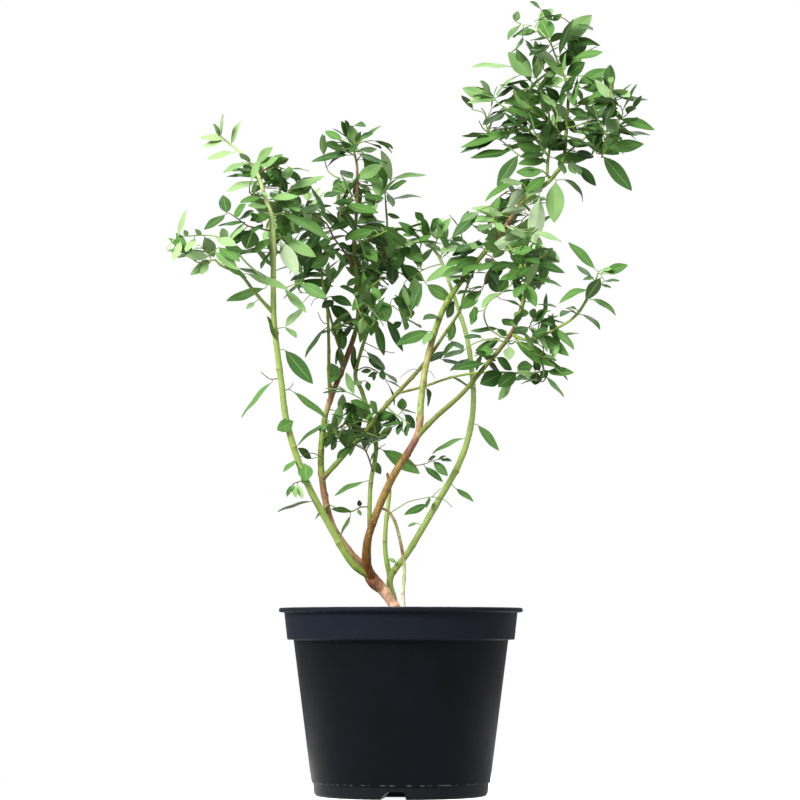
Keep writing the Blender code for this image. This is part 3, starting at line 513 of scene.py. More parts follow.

# The leaves that stand out, by the part of the crown and the tint: pixels across and down of the foot and of
# the tip, how wide the leaf shows in pixels, and where it matters how far it arches, as a share of its length
# A listed leaf's tint is how light or dark it shows, so the dark and deep ones partly stand for shade that
# falls on them: painted shade
LEAVES = {
    "left": {
        "young": [
            (221, 137, 213, 124, 5), (221, 136, 223, 114, 3), (231, 145, 241, 121, 6, 0.14),
            (225, 139, 200, 137, 7), (224, 141, 203, 146, 6), (235, 152, 207, 160, 6, 0.14),
            (178, 238, 187, 210, 5, 0.1), (180, 240, 174, 261, 8), (195, 238, 186, 252, 7),
            (171, 243, 167, 250, 3), (188, 236, 184, 230, 5), (202, 236, 195, 229, 5),
        ],
        "pale": [
            (258, 181, 226, 192, 7, 0.12), (204, 236, 214, 257, 13), (210, 256, 185, 256, 9),
            (216, 238, 236, 246, 9), (226, 240, 222, 228, 9), (285, 328, 303, 307, 8),
            (266, 197, 246, 198, 4, 0.1), (245, 222, 228, 243, 6), (255, 302, 246, 309, 5),
        ],
        "fresh": [
            (256, 163, 273, 147, 9, 0.1), (259, 166, 278, 158, 9), (288, 190, 325, 176, 8),
            (247, 162, 223, 173, 6), (213, 260, 190, 275, 9, 0.12), (208, 262, 201, 275, 7),
            (214, 251, 238, 270, 10), (245, 273, 289, 290, 8), (284, 288, 306, 313, 8),
            (284, 238, 316, 257, 12), (286, 327, 296, 338, 6), (270, 200, 300, 196, 7, 0.12),
            (290, 247, 288, 232, 7), (270, 199, 298, 197, 7, 0.15), (268, 206, 248, 206, 6),
            (245, 229, 228, 245, 12), (300, 233, 290, 222, 8),
        ],
        "mid": [
            (262, 168, 283, 154, 8), (258, 177, 237, 174, 6), (233, 217, 246, 204, 8),
            (272, 214, 250, 221, 9), (250, 230, 229, 243, 9), (270, 238, 254, 253, 9),
            (281, 214, 330, 240, 10, 0.16), (273, 381, 241, 418, 5, 0.1), (292, 391, 328, 420, 7, 0.08),
            (276, 341, 267, 316, 4), (218, 247, 240, 262, 10), (243, 250, 225, 247, 8),
            (289, 166, 287, 180, 10), (330, 255, 311, 268, 12), (290, 196, 312, 186, 10),
            (275, 205, 262, 212, 8), (300, 214, 322, 204, 8), (285, 200, 300, 212, 9),
            (276, 226, 292, 236, 8), (300, 283, 327, 298, 12), (262, 196, 240, 203, 6),
            (222, 263, 247, 278, 6), (266, 288, 226, 301, 9),
        ],
        "dark": [
            (252, 169, 232, 171, 4), (227, 214, 223, 195, 12), (226, 214, 204, 230, 8),
            (239, 219, 254, 211, 5), (245, 222, 218, 226, 4), (271, 249, 261, 269, 4),
            (246, 250, 226, 260, 9), (270, 278, 238, 268, 4), (310, 185, 328, 222, 5),
            (266, 186, 251, 191, 5), (322, 228, 308, 250, 10), (316, 232, 305, 275, 12),
            (321, 272, 290, 281, 5, 0.12), (302, 281, 283, 299, 3), (262, 222, 250, 214, 7),
            (288, 206, 305, 220, 9), (274, 232, 286, 228, 6), (284, 180, 270, 172, 8),
            (264, 248, 243, 254, 6), (263, 224, 252, 233, 6), (284, 349, 313, 384, 15),
        ],
        "deep": [(287, 193, 281, 177, 8), (253, 229, 246, 249, 19)],
        "grey": [(280, 240, 298, 275, 15), (250, 163, 240, 153, 6)],
    },
    "middle": {
        "fresh": [
            (357, 150, 350, 125, 13), (355, 180, 383, 164, 13), (350, 181, 331, 195, 13),
            (363, 381, 347, 386, 6), (378, 414, 370, 401, 8), (377, 413, 391, 414, 6),
            (338, 380, 331, 363, 12), (437, 240, 451, 218, 8), (458, 263, 426, 282, 9, 0.1),
            (414, 275, 417, 307, 14), (356, 225, 378, 205, 10, 0.1), (380, 264, 360, 272, 4),
            (388, 288, 370, 300, 8), (432, 331, 424, 345, 8), (416, 233, 402, 236, 5),
            (373, 416, 360, 413, 9),
        ],
        "pale": [
            (391, 183, 381, 150, 10, 0.14), (424, 238, 391, 250, 7, 0.12), (372, 190, 358, 185, 5),
            (328, 285, 329, 262, 6), (341, 413, 343, 394, 9),
        ],
        "mid": [
            (349, 138, 341, 121, 8), (343, 141, 325, 131, 8), (345, 150, 325, 143, 9),
            (358, 151, 377, 149, 6), (384, 192, 381, 166, 11), (391, 179, 427, 175, 5, 0.12),
            (372, 408, 350, 401, 8), (424, 221, 415, 212, 8), (430, 331, 396, 345, 12, 0.12),
            (404, 282, 405, 326, 15), (344, 204, 379, 213, 10), (375, 230, 346, 238, 11, 0.12),
            (368, 290, 352, 311, 10), (392, 240, 398, 262, 13), (340, 178, 334, 190, 8),
            (364, 245, 377, 262, 12), (402, 411, 402, 398, 10), (373, 461, 381, 474, 8),
            (381, 449, 420, 474, 14), (426, 284, 452, 301, 13), (381, 270, 353, 292, 18),
            (359, 277, 347, 287, 7), (379, 300, 387, 322, 19), (368, 309, 360, 343, 11),
            (375, 320, 384, 356, 9), (404, 250, 391, 266, 16), (398, 246, 424, 262, 12),
            (401, 264, 424, 281, 12), (381, 227, 399, 238, 11), (418, 236, 398, 222, 8),
            (404, 314, 405, 330, 7), (430, 232, 420, 244, 8), (357, 240, 372, 250, 8),
            (330, 238, 318, 250, 9), (322, 240, 334, 260, 10), (334, 287, 302, 281, 9, 0.12),
            (373, 415, 361, 417, 8), (365, 312, 366, 336, 13), (376, 318, 371, 336, 10),
            (352, 428, 346, 449, 15), (371, 417, 377, 436, 16), (333, 430, 322, 447, 12),
            (352, 413, 349, 428, 11), (337, 372, 330, 384, 9), (429, 238, 421, 217, 9),
            (437, 241, 431, 226, 8),
        ],
        "dark": [
            (350, 135, 345, 120, 5), (352, 128, 366, 127, 4, 0.3), (356, 139, 373, 134, 6),
            (350, 155, 311, 162, 7, 0.16), (357, 153, 386, 164, 6), (363, 178, 383, 183, 6),
            (353, 179, 341, 170, 9), (340, 192, 324, 197, 6), (387, 190, 407, 181, 6),
            (391, 200, 422, 197, 3, 0.16), (388, 193, 393, 207, 7), (431, 232, 438, 218, 8),
            (439, 317, 423, 320, 6, 0.2), (407, 423, 407, 436, 6), (426, 387, 428, 407, 5, 0.2),
            (328, 326, 305, 358, 4, 0.14), (338, 327, 320, 334, 3), (400, 262, 414, 284, 9),
            (386, 318, 403, 352, 9), (368, 357, 384, 372, 8), (384, 372, 397, 383, 4),
            (367, 381, 369, 391, 6), (330, 296, 352, 306, 9, 0.14), (329, 304, 354, 324, 13),
            (312, 459, 298, 448, 8), (330, 421, 297, 446, 4, 0.14), (357, 224, 386, 222, 4, 0.12),
            (358, 228, 346, 241, 8), (358, 226, 396, 234, 8, 0.2), (393, 262, 392, 285, 13),
            (402, 322, 391, 328, 7), (408, 319, 421, 328, 3), (372, 370, 361, 372, 5),
            (378, 372, 368, 377, 5), (374, 372, 374, 381, 4), (381, 370, 384, 380, 7),
            (355, 215, 336, 207, 8), (352, 222, 330, 229, 8), (356, 200, 334, 204, 6),
            (360, 196, 384, 199, 5), (386, 214, 400, 218, 5), (392, 298, 410, 308, 10),
            (352, 250, 338, 244, 7), (356, 258, 380, 256, 6, 0.12), (385, 256, 400, 252, 7),
            (358, 412, 343, 404, 9), (382, 434, 366, 441, 7), (381, 424, 400, 424, 6),
            (379, 434, 389, 435, 2), (402, 420, 398, 435, 6), (402, 410, 416, 413, 2),
            (352, 445, 337, 459, 8), (338, 436, 331, 450, 7), (392, 412, 385, 421, 7),
            (404, 414, 415, 428, 9), (341, 328, 343, 350, 10), (366, 351, 385, 370, 7),
            (338, 350, 341, 367, 6), (375, 420, 392, 413, 9), (380, 436, 365, 440, 8),
            (352, 322, 345, 338, 7), (342, 342, 336, 365, 5), (353, 343, 354, 371, 6),
        ],
        "deep": [
            (344, 210, 355, 232, 9), (363, 233, 384, 238, 9), (372, 236, 388, 246, 10),
            (376, 250, 366, 262, 10), (334, 300, 322, 308, 9), (340, 222, 326, 216, 8),
            (362, 214, 376, 222, 7), (366, 268, 378, 284, 10), (372, 428, 358, 436, 9),
            (362, 418, 354, 430, 8), (386, 414, 396, 421, 8),
        ],
        "grey": [(425, 246, 440, 247, 5)],
    },
    "right": {
        "fresh": [
            (601, 270, 612, 269, 4), (517, 313, 529, 313, 8), (519, 311, 516, 320, 8),
            (462, 246, 440, 252, 7), (487, 243, 459, 250, 7), (492, 233, 478, 228, 7),
            (495, 222, 505, 232, 7), (538, 331, 547, 352, 6), (497, 221, 469, 219, 7, 0.1),
            (518, 268, 505, 264, 7), (554, 337, 550, 354, 6), (513, 381, 498, 400, 9),
            (470, 250, 452, 254, 6), (462, 275, 448, 281, 6), (501, 293, 482, 309, 6, 0.3),
        ],
        "pale": [
            (505, 216, 471, 208, 9, 0.12), (531, 231, 562, 242, 6), (528, 236, 510, 232, 7),
            (509, 346, 509, 360, 11), (541, 250, 560, 262, 13), (600, 274, 616, 273, 4),
        ],
        "mid": [
            (596, 270, 568, 242, 9), (604, 272, 628, 265, 10), (589, 290, 559, 304, 7, 0.35),
            (590, 299, 616, 316, 6, 0.34), (556, 328, 574, 350, 8), (546, 371, 574, 373, 9),
            (546, 376, 564, 397, 5), (480, 350, 494, 352, 10), (508, 336, 497, 329, 6),
            (479, 291, 462, 309, 13), (476, 312, 471, 325, 7), (477, 212, 462, 222, 8),
            (528, 277, 562, 287, 4, 0.16), (500, 250, 482, 244, 9), (512, 252, 532, 250, 10),
            (520, 268, 508, 280, 11), (526, 262, 510, 256, 10), (466, 256, 446, 266, 9),
            (478, 262, 462, 276, 10), (492, 262, 478, 272, 8), (492, 224, 478, 230, 8),
            (478, 257, 455, 268, 11), (470, 265, 441, 277, 9), (482, 263, 468, 272, 7),
            (499, 243, 485, 240, 7), (520, 274, 500, 280, 8), (524, 283, 515, 298, 10),
            (526, 284, 536, 307, 11), (455, 322, 449, 341, 9), (452, 341, 445, 356, 7),
            (496, 357, 512, 370, 9), (534, 366, 517, 368, 13), (514, 341, 556, 367, 14),
            (532, 374, 514, 379, 7), (452, 250, 440, 237, 8), (532, 331, 569, 356, 12),
            (500, 262, 484, 285, 10), (461, 283, 452, 279, 6), (500, 338, 488, 348, 7),
        ],
        "dark": [
            (592, 279, 577, 265, 5), (594, 277, 583, 280, 4), (604, 281, 619, 281, 3),
            (601, 284, 611, 288, 3), (578, 314, 600, 330, 4, 0.3), (575, 313, 560, 317, 3, 0.3),
            (577, 310, 567, 308, 3, 0.3), (556, 327, 548, 315, 5), (532, 335, 548, 330, 8),
            (505, 262, 491, 279, 10), (466, 349, 443, 358, 6), (470, 358, 450, 371, 6),
            (482, 355, 496, 361, 6), (516, 276, 530, 268, 8), (508, 262, 524, 272, 9),
            (470, 244, 456, 252, 8), (524, 256, 540, 264, 8), (498, 268, 486, 258, 8),
            (479, 214, 452, 238, 11, 0.2), (479, 247, 452, 256, 8), (483, 247, 476, 241, 5),
            (512, 262, 490, 270, 9), (508, 277, 498, 292, 12), (492, 267, 496, 283, 8),
            (530, 264, 565, 273, 9, 0.2), (474, 306, 474, 321, 9), (500, 299, 520, 306, 2, 0.12),
            (536, 304, 557, 307, 2), (482, 338, 464, 336, 5), (452, 341, 463, 350, 7),
            (494, 357, 475, 353, 7), (441, 359, 462, 367, 5, 0.12), (486, 363, 453, 370, 8, 0.12),
            (452, 377, 477, 391, 3), (528, 327, 514, 334, 9), (549, 321, 560, 342, 9),
            (531, 337, 539, 344, 5), (541, 321, 553, 326, 4), (516, 326, 502, 319, 9),
            (532, 322, 548, 309, 9), (487, 277, 498, 292, 9), (455, 300, 447, 318, 9),
            (548, 370, 540, 378, 8), (503, 373, 480, 384, 17), (517, 372, 498, 387, 14),
            (444, 351, 430, 362, 8), (495, 341, 475, 351, 8), (500, 329, 470, 331, 5),
            (540, 371, 534, 362, 8),
        ],
        "deep": [(601, 277, 586, 300, 12), (487, 362, 500, 372, 6), (537, 372, 535, 385, 12)],
        "grey": [
            (500, 213, 527, 208, 8), (525, 188, 508, 207, 11), (540, 196, 533, 245, 17),
            (521, 235, 490, 249, 12), (527, 231, 503, 240, 10), (528, 244, 540, 258, 12),
        ],
    },
    "crest": {
        "fresh": [
            (538, 22, 553, 9, 9, 0.2), (560, 43, 592, 15, 18, 0.1), (523, 36, 511, 52, 3, -0.14),
            (533, 78, 508, 52, 17), (513, 67, 471, 67, 5, 0.12), (520, 75, 496, 96, 3, 0.2),
            (535, 79, 540, 58, 10), (495, 100, 462, 88, 13), (494, 101, 467, 103, 4, 0.1),
            (556, 180, 554, 223, 19), (567, 90, 576, 108, 8), (563, 73, 566, 53, 5),
            (544, 84, 564, 80, 10), (556, 72, 545, 76, 6), (543, 186, 527, 196, 9), (566, 79, 540, 52, 9),
        ],
        "pale": [
            (515, 22, 518, 11, 8), (491, 93, 480, 81, 7), (606, 132, 619, 119, 14),
            (523, 183, 501, 181, 7), (557, 111, 556, 128, 11), (613, 92, 610, 79, 5),
            (618, 91, 630, 97, 8),
        ],
        "mid": [
            (542, 11, 530, 2, 3, 0.16), (551, 39, 541, 19, 18), (552, 21, 562, 14, 6),
            (521, 24, 508, 40, 6, 0.12), (537, 32, 516, 33, 7), (573, 58, 603, 52, 8),
            (520, 130, 460, 148, 9, 0.08), (606, 148, 644, 144, 13), (619, 119, 655, 130, 10, 0.14),
            (584, 142, 620, 154, 12), (568, 163, 576, 174, 7), (575, 133, 604, 124, 10),
            (541, 96, 504, 102, 13), (543, 172, 516, 172, 11), (523, 184, 485, 202, 6, 0.35),
            (528, 100, 516, 91, 9), (588, 100, 604, 92, 8), (560, 150, 545, 141, 10),
            (552, 158, 588, 158, 12), (545, 150, 517, 146, 10), (547, 160, 518, 164, 9),
            (570, 121, 608, 111, 9), (545, 118, 508, 107, 11), (575, 104, 606, 97, 9),
            (548, 130, 526, 118, 10), (577, 84, 608, 69, 13), (585, 104, 626, 90, 7),
            (577, 78, 574, 105, 6), (598, 115, 620, 113, 10), (580, 88, 610, 90, 9),
            (546, 176, 526, 192, 11), (560, 160, 564, 174, 7), (553, 20, 542, 10, 7),
        ],
        "dark": [
            (578, 24, 593, 30, 5), (562, 41, 596, 45, 6, 0.1), (530, 25, 513, 38, 3),
            (573, 35, 578, 41, 3), (497, 139, 460, 153, 7), (511, 151, 470, 158, 9),
            (519, 154, 497, 187, 13, 0.1), (561, 179, 583, 203, 5, 0.46), (602, 155, 632, 191, 15),
            (612, 132, 651, 135, 4), (578, 165, 596, 186, 10), (590, 118, 618, 108, 9),
            (548, 117, 518, 103, 9), (546, 153, 520, 157, 7), (588, 90, 604, 78, 8),
            (506, 128, 506, 140, 8), (530, 88, 519, 82, 7), (540, 137, 511, 139, 9),
            (566, 150, 552, 139, 13), (571, 160, 580, 175, 8), (566, 140, 588, 146, 10),
            (550, 142, 536, 133, 9), (568, 108, 588, 117, 9), (549, 104, 562, 96, 8),
            (545, 96, 528, 104, 9), (565, 67, 567, 50, 14), (566, 76, 585, 62, 13),
            (585, 110, 617, 101, 8), (558, 71, 544, 70, 8), (553, 113, 562, 105, 12),
            (566, 118, 577, 133, 9), (578, 88, 581, 101, 6), (563, 92, 562, 106, 6),
        ],
        "deep": [
            (550, 45, 529, 56, 9, 0.16), (561, 63, 572, 51, 11), (496, 98, 516, 87, 5, 0.12),
            (506, 112, 483, 125, 8), (610, 97, 648, 100, 3, 0.06), (575, 152, 594, 157, 8),
            (608, 134, 622, 141, 5), (549, 120, 530, 130, 8), (573, 84, 562, 92, 8),
            (517, 110, 526, 128, 8), (560, 100, 546, 88, 10), (556, 122, 566, 130, 9),
            (540, 150, 528, 158, 8), (558, 98, 577, 74, 7),
        ],
        "grey": [(557, 63, 531, 49, 10), (548, 38, 530, 40, 3), (556, 104, 566, 120, 12)],
    },
    "low": {
        "fresh": [(388, 558, 397, 564, 4, 0.2), (293, 484, 296, 498, 6)],
        "pale": [(297, 484, 303, 499, 6)],
        "mid": [
            (294, 421, 277, 430, 13), (297, 459, 283, 472, 5), (305, 463, 306, 481, 15),
            (366, 481, 334, 496, 5, 0.14), (465, 438, 432, 454, 5, 0.16), (477, 424, 499, 451, 9),
            (455, 488, 474, 502, 6), (433, 461, 448, 476, 9), (358, 509, 361, 516, 4),
            (351, 515, 341, 535, 4), (418, 523, 408, 527, 3, 0.2), (317, 430, 331, 424, 6),
        ],
        "dark": [
            (424, 466, 443, 482, 7), (428, 504, 404, 515, 8), (294, 484, 287, 497, 5, 0.2),
            (352, 511, 331, 509, 6), (328, 505, 315, 519, 3), (360, 507, 359, 500, 5),
            (430, 497, 426, 508, 4), (428, 460, 436, 456, 4), (440, 459, 452, 461, 4),
            (438, 459, 446, 456, 3), (301, 481, 310, 484, 4),
        ],
        "grey": [(313, 501, 277, 512, 3, 0.12)],
    },
}

# How often each tint falls on a shoot of the rule, by the part of the crown. The many dark and deep ones,
# most of all in the middle, also paint the shade inside the crown
TINT_SHARES = {
    "left": {"pale": 2, "fresh": 4, "mid": 5, "dark": 2},
    "middle": {"fresh": 1, "mid": 6, "dark": 6, "deep": 2},
    "right": {"pale": 1, "fresh": 3, "mid": 5, "dark": 4, "deep": 1},
    "crest": {"pale": 1, "fresh": 2, "mid": 6, "dark": 6, "deep": 2},
    "low": {"mid": 3, "dark": 3},
}
TINT_ORDER = ["young", "pale", "fresh", "mid", "dark", "deep"]
# How full the rule makes each mass, beside the leaves above
MASSES = {
    "left": {
        "left_tip": 0, "left_arm": 0.25, "left_upper": 0.9, "left_lower": 0.9, "left_inner": 1.0,
        "left_back": 0.9,
    },
    "middle": {
        "middle_top": 1.0, "middle_upper": 1.2, "middle_left": 1.1, "middle": 1.3, "middle_back": 0.9,
        "middle_front": 1.0, "middle_low": 0.8, "under_middle": 0.3, "low": 1.0, "green_top": 1.0,
        "hanging": 0.5,
    },
    "right": {
        "fork": 1.2, "right_upper": 1.3, "right_middle": 1.3, "right_neck": 0.8, "right_back": 1.0,
        "right_arm": 1.4, "right_low": 0.9, "right_tip": 0,
    },
    "crest": {"crest_left": 1.3, "crest": 1.45, "crest_top": 1.0, "crest_right": 1.0},
    "low": {},
}
SPRIGS = {"low": ["left", "middle", "right", "right_upper"]}
REGIONS = list(MASSES)
LEAF_SIZES = {"left": 0.95, "middle": 1.0, "right": 1.0, "crest": 1.12, "low": 0.9}
# How often a leaf of the rule keeps clear of what shows, and by how much
CLEAR_SHARES = {"left": 0.9, "middle": 0.75, "right": 0.8, "crest": 0.85, "low": 0.8}
CLEAR_PIXELS = 4.5
CLEAR_AWAY = 0.003
# Places where the sky shows through the crown: across, down and how far round, in pixels
OPEN_SKY = {
    "left": [
        (246, 186, 7), (248, 195, 5), (258, 268, 5), (282, 262, 6), (292, 166, 5), (290, 311, 8),
        (293, 332, 4), (240, 243, 4),
    ],
    "middle": [
        (333, 168, 7), (347, 163, 4), (378, 217, 5), (347, 277, 6), (352, 300, 5), (320, 245, 5),
        (312, 200, 6), (322, 190, 6), (365, 263, 5), (430, 265, 5), (366, 141, 5), (342, 245, 4),
        (390, 320, 5), (410, 325, 5), (362, 426, 4), (395, 440, 9), (345, 462, 6),
    ],
    "right": [
        (490, 196, 8), (505, 194, 6), (462, 208, 6), (471, 199, 7), (455, 214, 5), (468, 235, 7),
        (522, 215, 7), (518, 225, 6), (531, 203, 5), (549, 226, 7), (463, 233, 5), (484, 233, 5),
        (546, 243, 5), (553, 278, 4), (518, 304, 6), (530, 390, 8), (538, 215, 8), (514, 388, 3),
        (503, 323, 5), (517, 362, 5), (548, 345, 5), (566, 306, 5), (500, 334, 4),
    ],
    "crest": [
        (480, 112, 13), (468, 124, 9), (461, 113, 9), (592, 37, 5), (540, 214, 8), (560, 8, 4),
        (493, 109, 6), (621, 80, 10), (538, 118, 4), (606, 138, 4), (622, 108, 8), (485, 194, 5),
    ],
}

# The leaves that are placed one by one
READ_ARCH = 0.45  # how much of a leaf's bow lies across the view
READ_LENGTHS = (0.75, 0.95)  # their real lengths, as shares of a full leaf
READ_HIDDEN = 0.8  # how much of the length that the view hides is used
READ_TOWARDS = 0.72  # how many lean towards the viewer
LOW_TOWARDS = 0.4
SHORT_SHARE = 0.4  # a leaf that shows shorter than this leans less
SHORT_TOWARDS = 0.4
STALK_GAP = 0.0006  # the shortest gap that gets a stalk
STALK_STEP = 0.003
STALK_RADIUS = 0.0005
STALK_TIP_RADIUS = 0.00042
LONG_STALK = 0.012
LONG_STALK_RADIUS = 0.0007

# The rule that grows the others
LINE_STEP = 0.004
GOLDEN_TURN = math.radians(137.5)  # from one leaf up a shoot to the next
LEAF_SPREAD = (42, 70)  # how far leaves stand off their shoot, in degrees
TUFT = 3  # leaves at a shoot's tip
TUFT_SPREAD = (14, 40)
TUFT_TURN = 2.1
LEAF_TRIES = 6
RETRY_TURN = math.radians(97)
RETRY_LENGTH = 0.93
LEAF_DROOP = -0.16
ROOM_SLACK = 0.004  # how far a leaf may stick out of the masses
BUD_SHARE = 0.35
BUD_LENGTH = 0.0014
BUD_RADII = (0.0004, 0.0005, 0.0002)
BUD_SIDES = 4
TWIG_SIDES = 6
SAME_TINT = 0.6
MASS_SHARE = 0.52  # of its box
GOAL_TRIES = 400
GOAL_DEPTHS = (0.006, 0.024)
SHORTEST_SHOOT = 0.012
SHOOT_WOODS = {"green": 6, "olive": 2, "brown": 2}
SHOOT_STEP = 0.006
SHOOT_SAG = 0.05
SHOOT_FOLLOWS = 0.6  # how much a shoot starts the way its wood runs
SHOOT_RADIUS = 0.00065
SHOOT_TAPER = 0.006  # how much thicker the foot is for each metre of shoot
SHOOT_TIP_RADIUS = 0.00045
LONG_SHOOT = 0.06
BARE_SHARE = 0.15
LEAFY_LENGTH = 0.05  # how much of a long shoot bears leaves
ABOVE_COST = 0.9  # how much worse wood is for each metre that it lies above the goal

# A leaf, from its foot at 0 to its tip at 1, and from one edge at -1 to the other at 1
LEAF_ROWS = np.array([0.0, 0.05, 0.1, 0.17, 0.27, 0.38, 0.5, 0.61, 0.72, 0.82, 0.9, 0.96, 1.0])
LEAF_COLUMNS = np.array([-1.0, -0.52, -0.07, 0.07, 0.52, 1.0])
STALK_END = 0.07
STALK_WIDTH = 0.07
LEAF_THICKNESS = 0.00022
RIB_THICKNESS = 0.0005
WAVES = 1.4
WAVE_DEPTH = 0.1
EDGE_BOW = 0.16
LEAF_EDGE_ANGLE = math.radians(70)
TOP, RIB, UNDER = range(3)

# The pot's sizes
POT_HEIGHT = 0.176
LIP_RADIUS = 0.115
LIP_THICKNESS = 0.0042
BAND_TOP_RADIUS = 0.110
BAND_FOOT_RADIUS = 0.1072
BAND_FOOT_HEIGHT = 0.146
BODY_TOP_RADIUS = 0.1013
BODY_FOOT_RADIUS = 0.0841
BODY_FOOT_HEIGHT = 0.013
FOOT_TOP_RADIUS = 0.0825
FOOT_RADIUS = 0.0815
WALL = 0.0018
POT_FLOOR = 0.0115
ARC_STEPS = 4
POT_SEGMENTS = 224
POT_UNEVENNESS = 0.0004
POT_EDGE_ANGLE = math.radians(38)
CHANNEL_COUNT = 3
CHANNEL_TURN = math.radians(-95.3)
CHANNEL_WIDTH = 0.024
CHANNEL_HEIGHT = 0.0075
CHANNEL_START = 0.026
CHANNEL_BEVEL = 0.0012
CHANNEL_SLANT = 0.0058
SOIL_HEIGHT = 0.156
SOIL_MOUND = 0.0035
MOUND_SPREAD = 0.0011
SOIL_HEAPS = 0.0022
SOIL_CRUMBS = 0.0011
SOIL_RINGS = 64
SOIL_SEGMENTS = 150
CHIP_SIZES = (0.0012, 0.0042)
CHIP_SEED = 11

FLOOR_RADIUS = 0.45
FLOOR_SHADES = ((0.93, 0.93, 0.93, 1), (0.9, 0.9, 0.9, 1))
FLOOR_GLOW = 0.9
WHITE = (1, 1, 1, 1)
LIGHT_FROM_BELOW = 0.4  # as a share of the light from above
# Name, place, size and share of the main light's power
LIGHTS = (
    ("key", (-1.9, -2.0, 1.9), 1.2, 1.0),
    ("fill", (1.9, -1.4, 1.2), 1.6, 0.12),
    ("back", (0.4, 1.4, 2.6), 1.6, 0.2),
)


def colour_choice(name, description, default):
    """A colour that the sidebar shows."""
    kind = {"size": 4, "min": 0, "max": 1, "subtype": "COLOR"}
    return FloatVectorProperty(name=name, description=description, default=default, **kind)


def length_choice(name, description, default):
    """A length that the sidebar shows."""
    kind = {"min": 0, "subtype": "DISTANCE", "unit": "LENGTH"}
    return FloatProperty(name=name, description=description, default=default, **kind)


class PotChoices(PropertyGroup):
    plastic: colour_choice("Plastic", "Colour of the pot", colour(11, 12, 15))
    # The same pale colour also paints the highlight along the lip's top
    scuff_and_highlight: colour_choice("Scuffs", "Colour of the worn edges", colour(120, 124, 132))
    roughness: FloatProperty(name="Roughness", description="How matt the pot is", default=0.5, min=0, max=1)
    compost: colour_choice("Compost", "Colour of the compost", colour(62, 44, 32))
    chips: IntProperty(name="Chips", description="Bits of bark on the compost", default=420, min=0)


class LimbChoices(PropertyGroup):
    ring_step: length_choice("Ring step", "Length of bark between two rings of its mesh", 0.0011)
    relief: length_choice("Relief", "Depth of the bark's ridges", 0.00012)
    scar: colour_choice("Scars", "Colour of the leaf scars", colour(126, 74, 50))
    streaks: FloatProperty(name="Streaks", description="Strength of the streaks", default=0.5, min=0, max=1)


class LeafChoices(PropertyGroup):
    seed: IntProperty(name="Seed", description="Draws another crown", default=4, min=0)
    length: length_choice("Length", "Length of a full leaf", 0.039)
    width: FloatProperty(name="Width", description="Width for its length", default=0.345, min=0.1, max=1)
    spacing: length_choice("Spacing", "Length of shoot between two leaves", 0.0072)
    density: FloatProperty(name="Density", description="Shoots per litre of foliage", default=44.0, min=0)
    fold: FloatProperty(
        name="Fold", description="How far a leaf folds up", default=0.26, subtype="ANGLE", unit="ROTATION"
    )
    young: colour_choice("Young", "Leaves at the tips", colour(152, 184, 122))
    pale: colour_choice("Pale", "Palest full leaves", colour(148, 180, 122))
    fresh: colour_choice("Fresh", "Light green leaves", colour(126, 166, 98))
    mid: colour_choice("Middle", "Middle green leaves", colour(86, 132, 60))
    # The dark and deep tints are darker leaves, and where they crowd the inside of the crown they are painted
    # shade too
    dark: colour_choice("Dark", "Dark green leaves", colour(58, 98, 41))
    deep: colour_choice("Deep", "Darkest leaves", colour(42, 70, 28))
    grey: colour_choice("Grey", "Undersides that catch the light", colour(184, 202, 170))


class StageChoices(PropertyGroup):
    key: FloatProperty(
        name="Key light", description="Power of the main light", default=150.0, min=0, unit="POWER"
    )
    sky: FloatProperty(name="Room light", description="Strength of the light all round", default=0.85, min=0)


# Shader sums, written as plain ones


class Wire:
    """A number that varies over a surface. Sums on it add Math nodes."""

    def __init__(self, maker, socket):
        self.maker = maker
        self.socket = socket

    def sum_with(self, operation, *values):
        return self.maker.node("Math", {"operation": operation}, dict(enumerate(values)))

    def __add__(self, other):
        return self.sum_with("ADD", self, other)

    __radd__ = __add__

    def __sub__(self, other):
        return self.sum_with("SUBTRACT", self, other)

    def __rsub__(self, other):
        return self.sum_with("SUBTRACT", other, self)

    def __mul__(self, other):
        return self.sum_with("MULTIPLY", self, other)

    __rmul__ = __mul__

    def __abs__(self):
        return self.sum_with("ABSOLUTE", self)

    def turns(self):
        """Swings between -1 and 1, once for each whole number."""
        return self.sum_with("SINE", self * math.tau)

    def rise(self, low, high):
        """0 below low and 1 above high, smooth between them. It falls if low is the higher."""
        if low > high:
            return 1 - self.rise(high, low)
        settings = {"interpolation_type": "SMOOTHSTEP"}
        return self.maker.node("MapRange", settings, {"Value": self, "From Min": low, "From Max": high})


class Nodes:
    """The nodes of a material or of the room's light."""

    def __init__(self, tree):
        self.tree = tree

    def feed(self, socket, value):
        if isinstance(value, Wire):
            self.tree.links.new(value.socket, socket)
        elif hasattr(socket.default_value, "__len__") and not hasattr(value, "__len__"):
            socket.default_value = [value] * len(socket.default_value)
        else:
            socket.default_value = value

    def node(self, kind, settings=None, inputs=None, output=0):
        """A node of this kind, its settings made first. A ramp's stops are (place, colour) pairs."""
        made = self.tree.nodes.new("ShaderNode" + kind)
        for name, value in (settings or {}).items():
            if name == "stops":
                elements = made.color_ramp.elements
                while len(elements) < len(value):
                    elements.new(1)
                for element, (place, shade) in zip(elements, value):
                    element.position = place
                    element.color = shade
            else:
                setattr(made, name, value)
        for name, value in (inputs or {}).items():
            self.feed(made.inputs[name], value)
        return Wire(self, made.outputs[output])

    def part(self, places, number):
        """One of the three numbers of a place."""
        return self.node("SeparateXYZ", None, {0: places}, number)


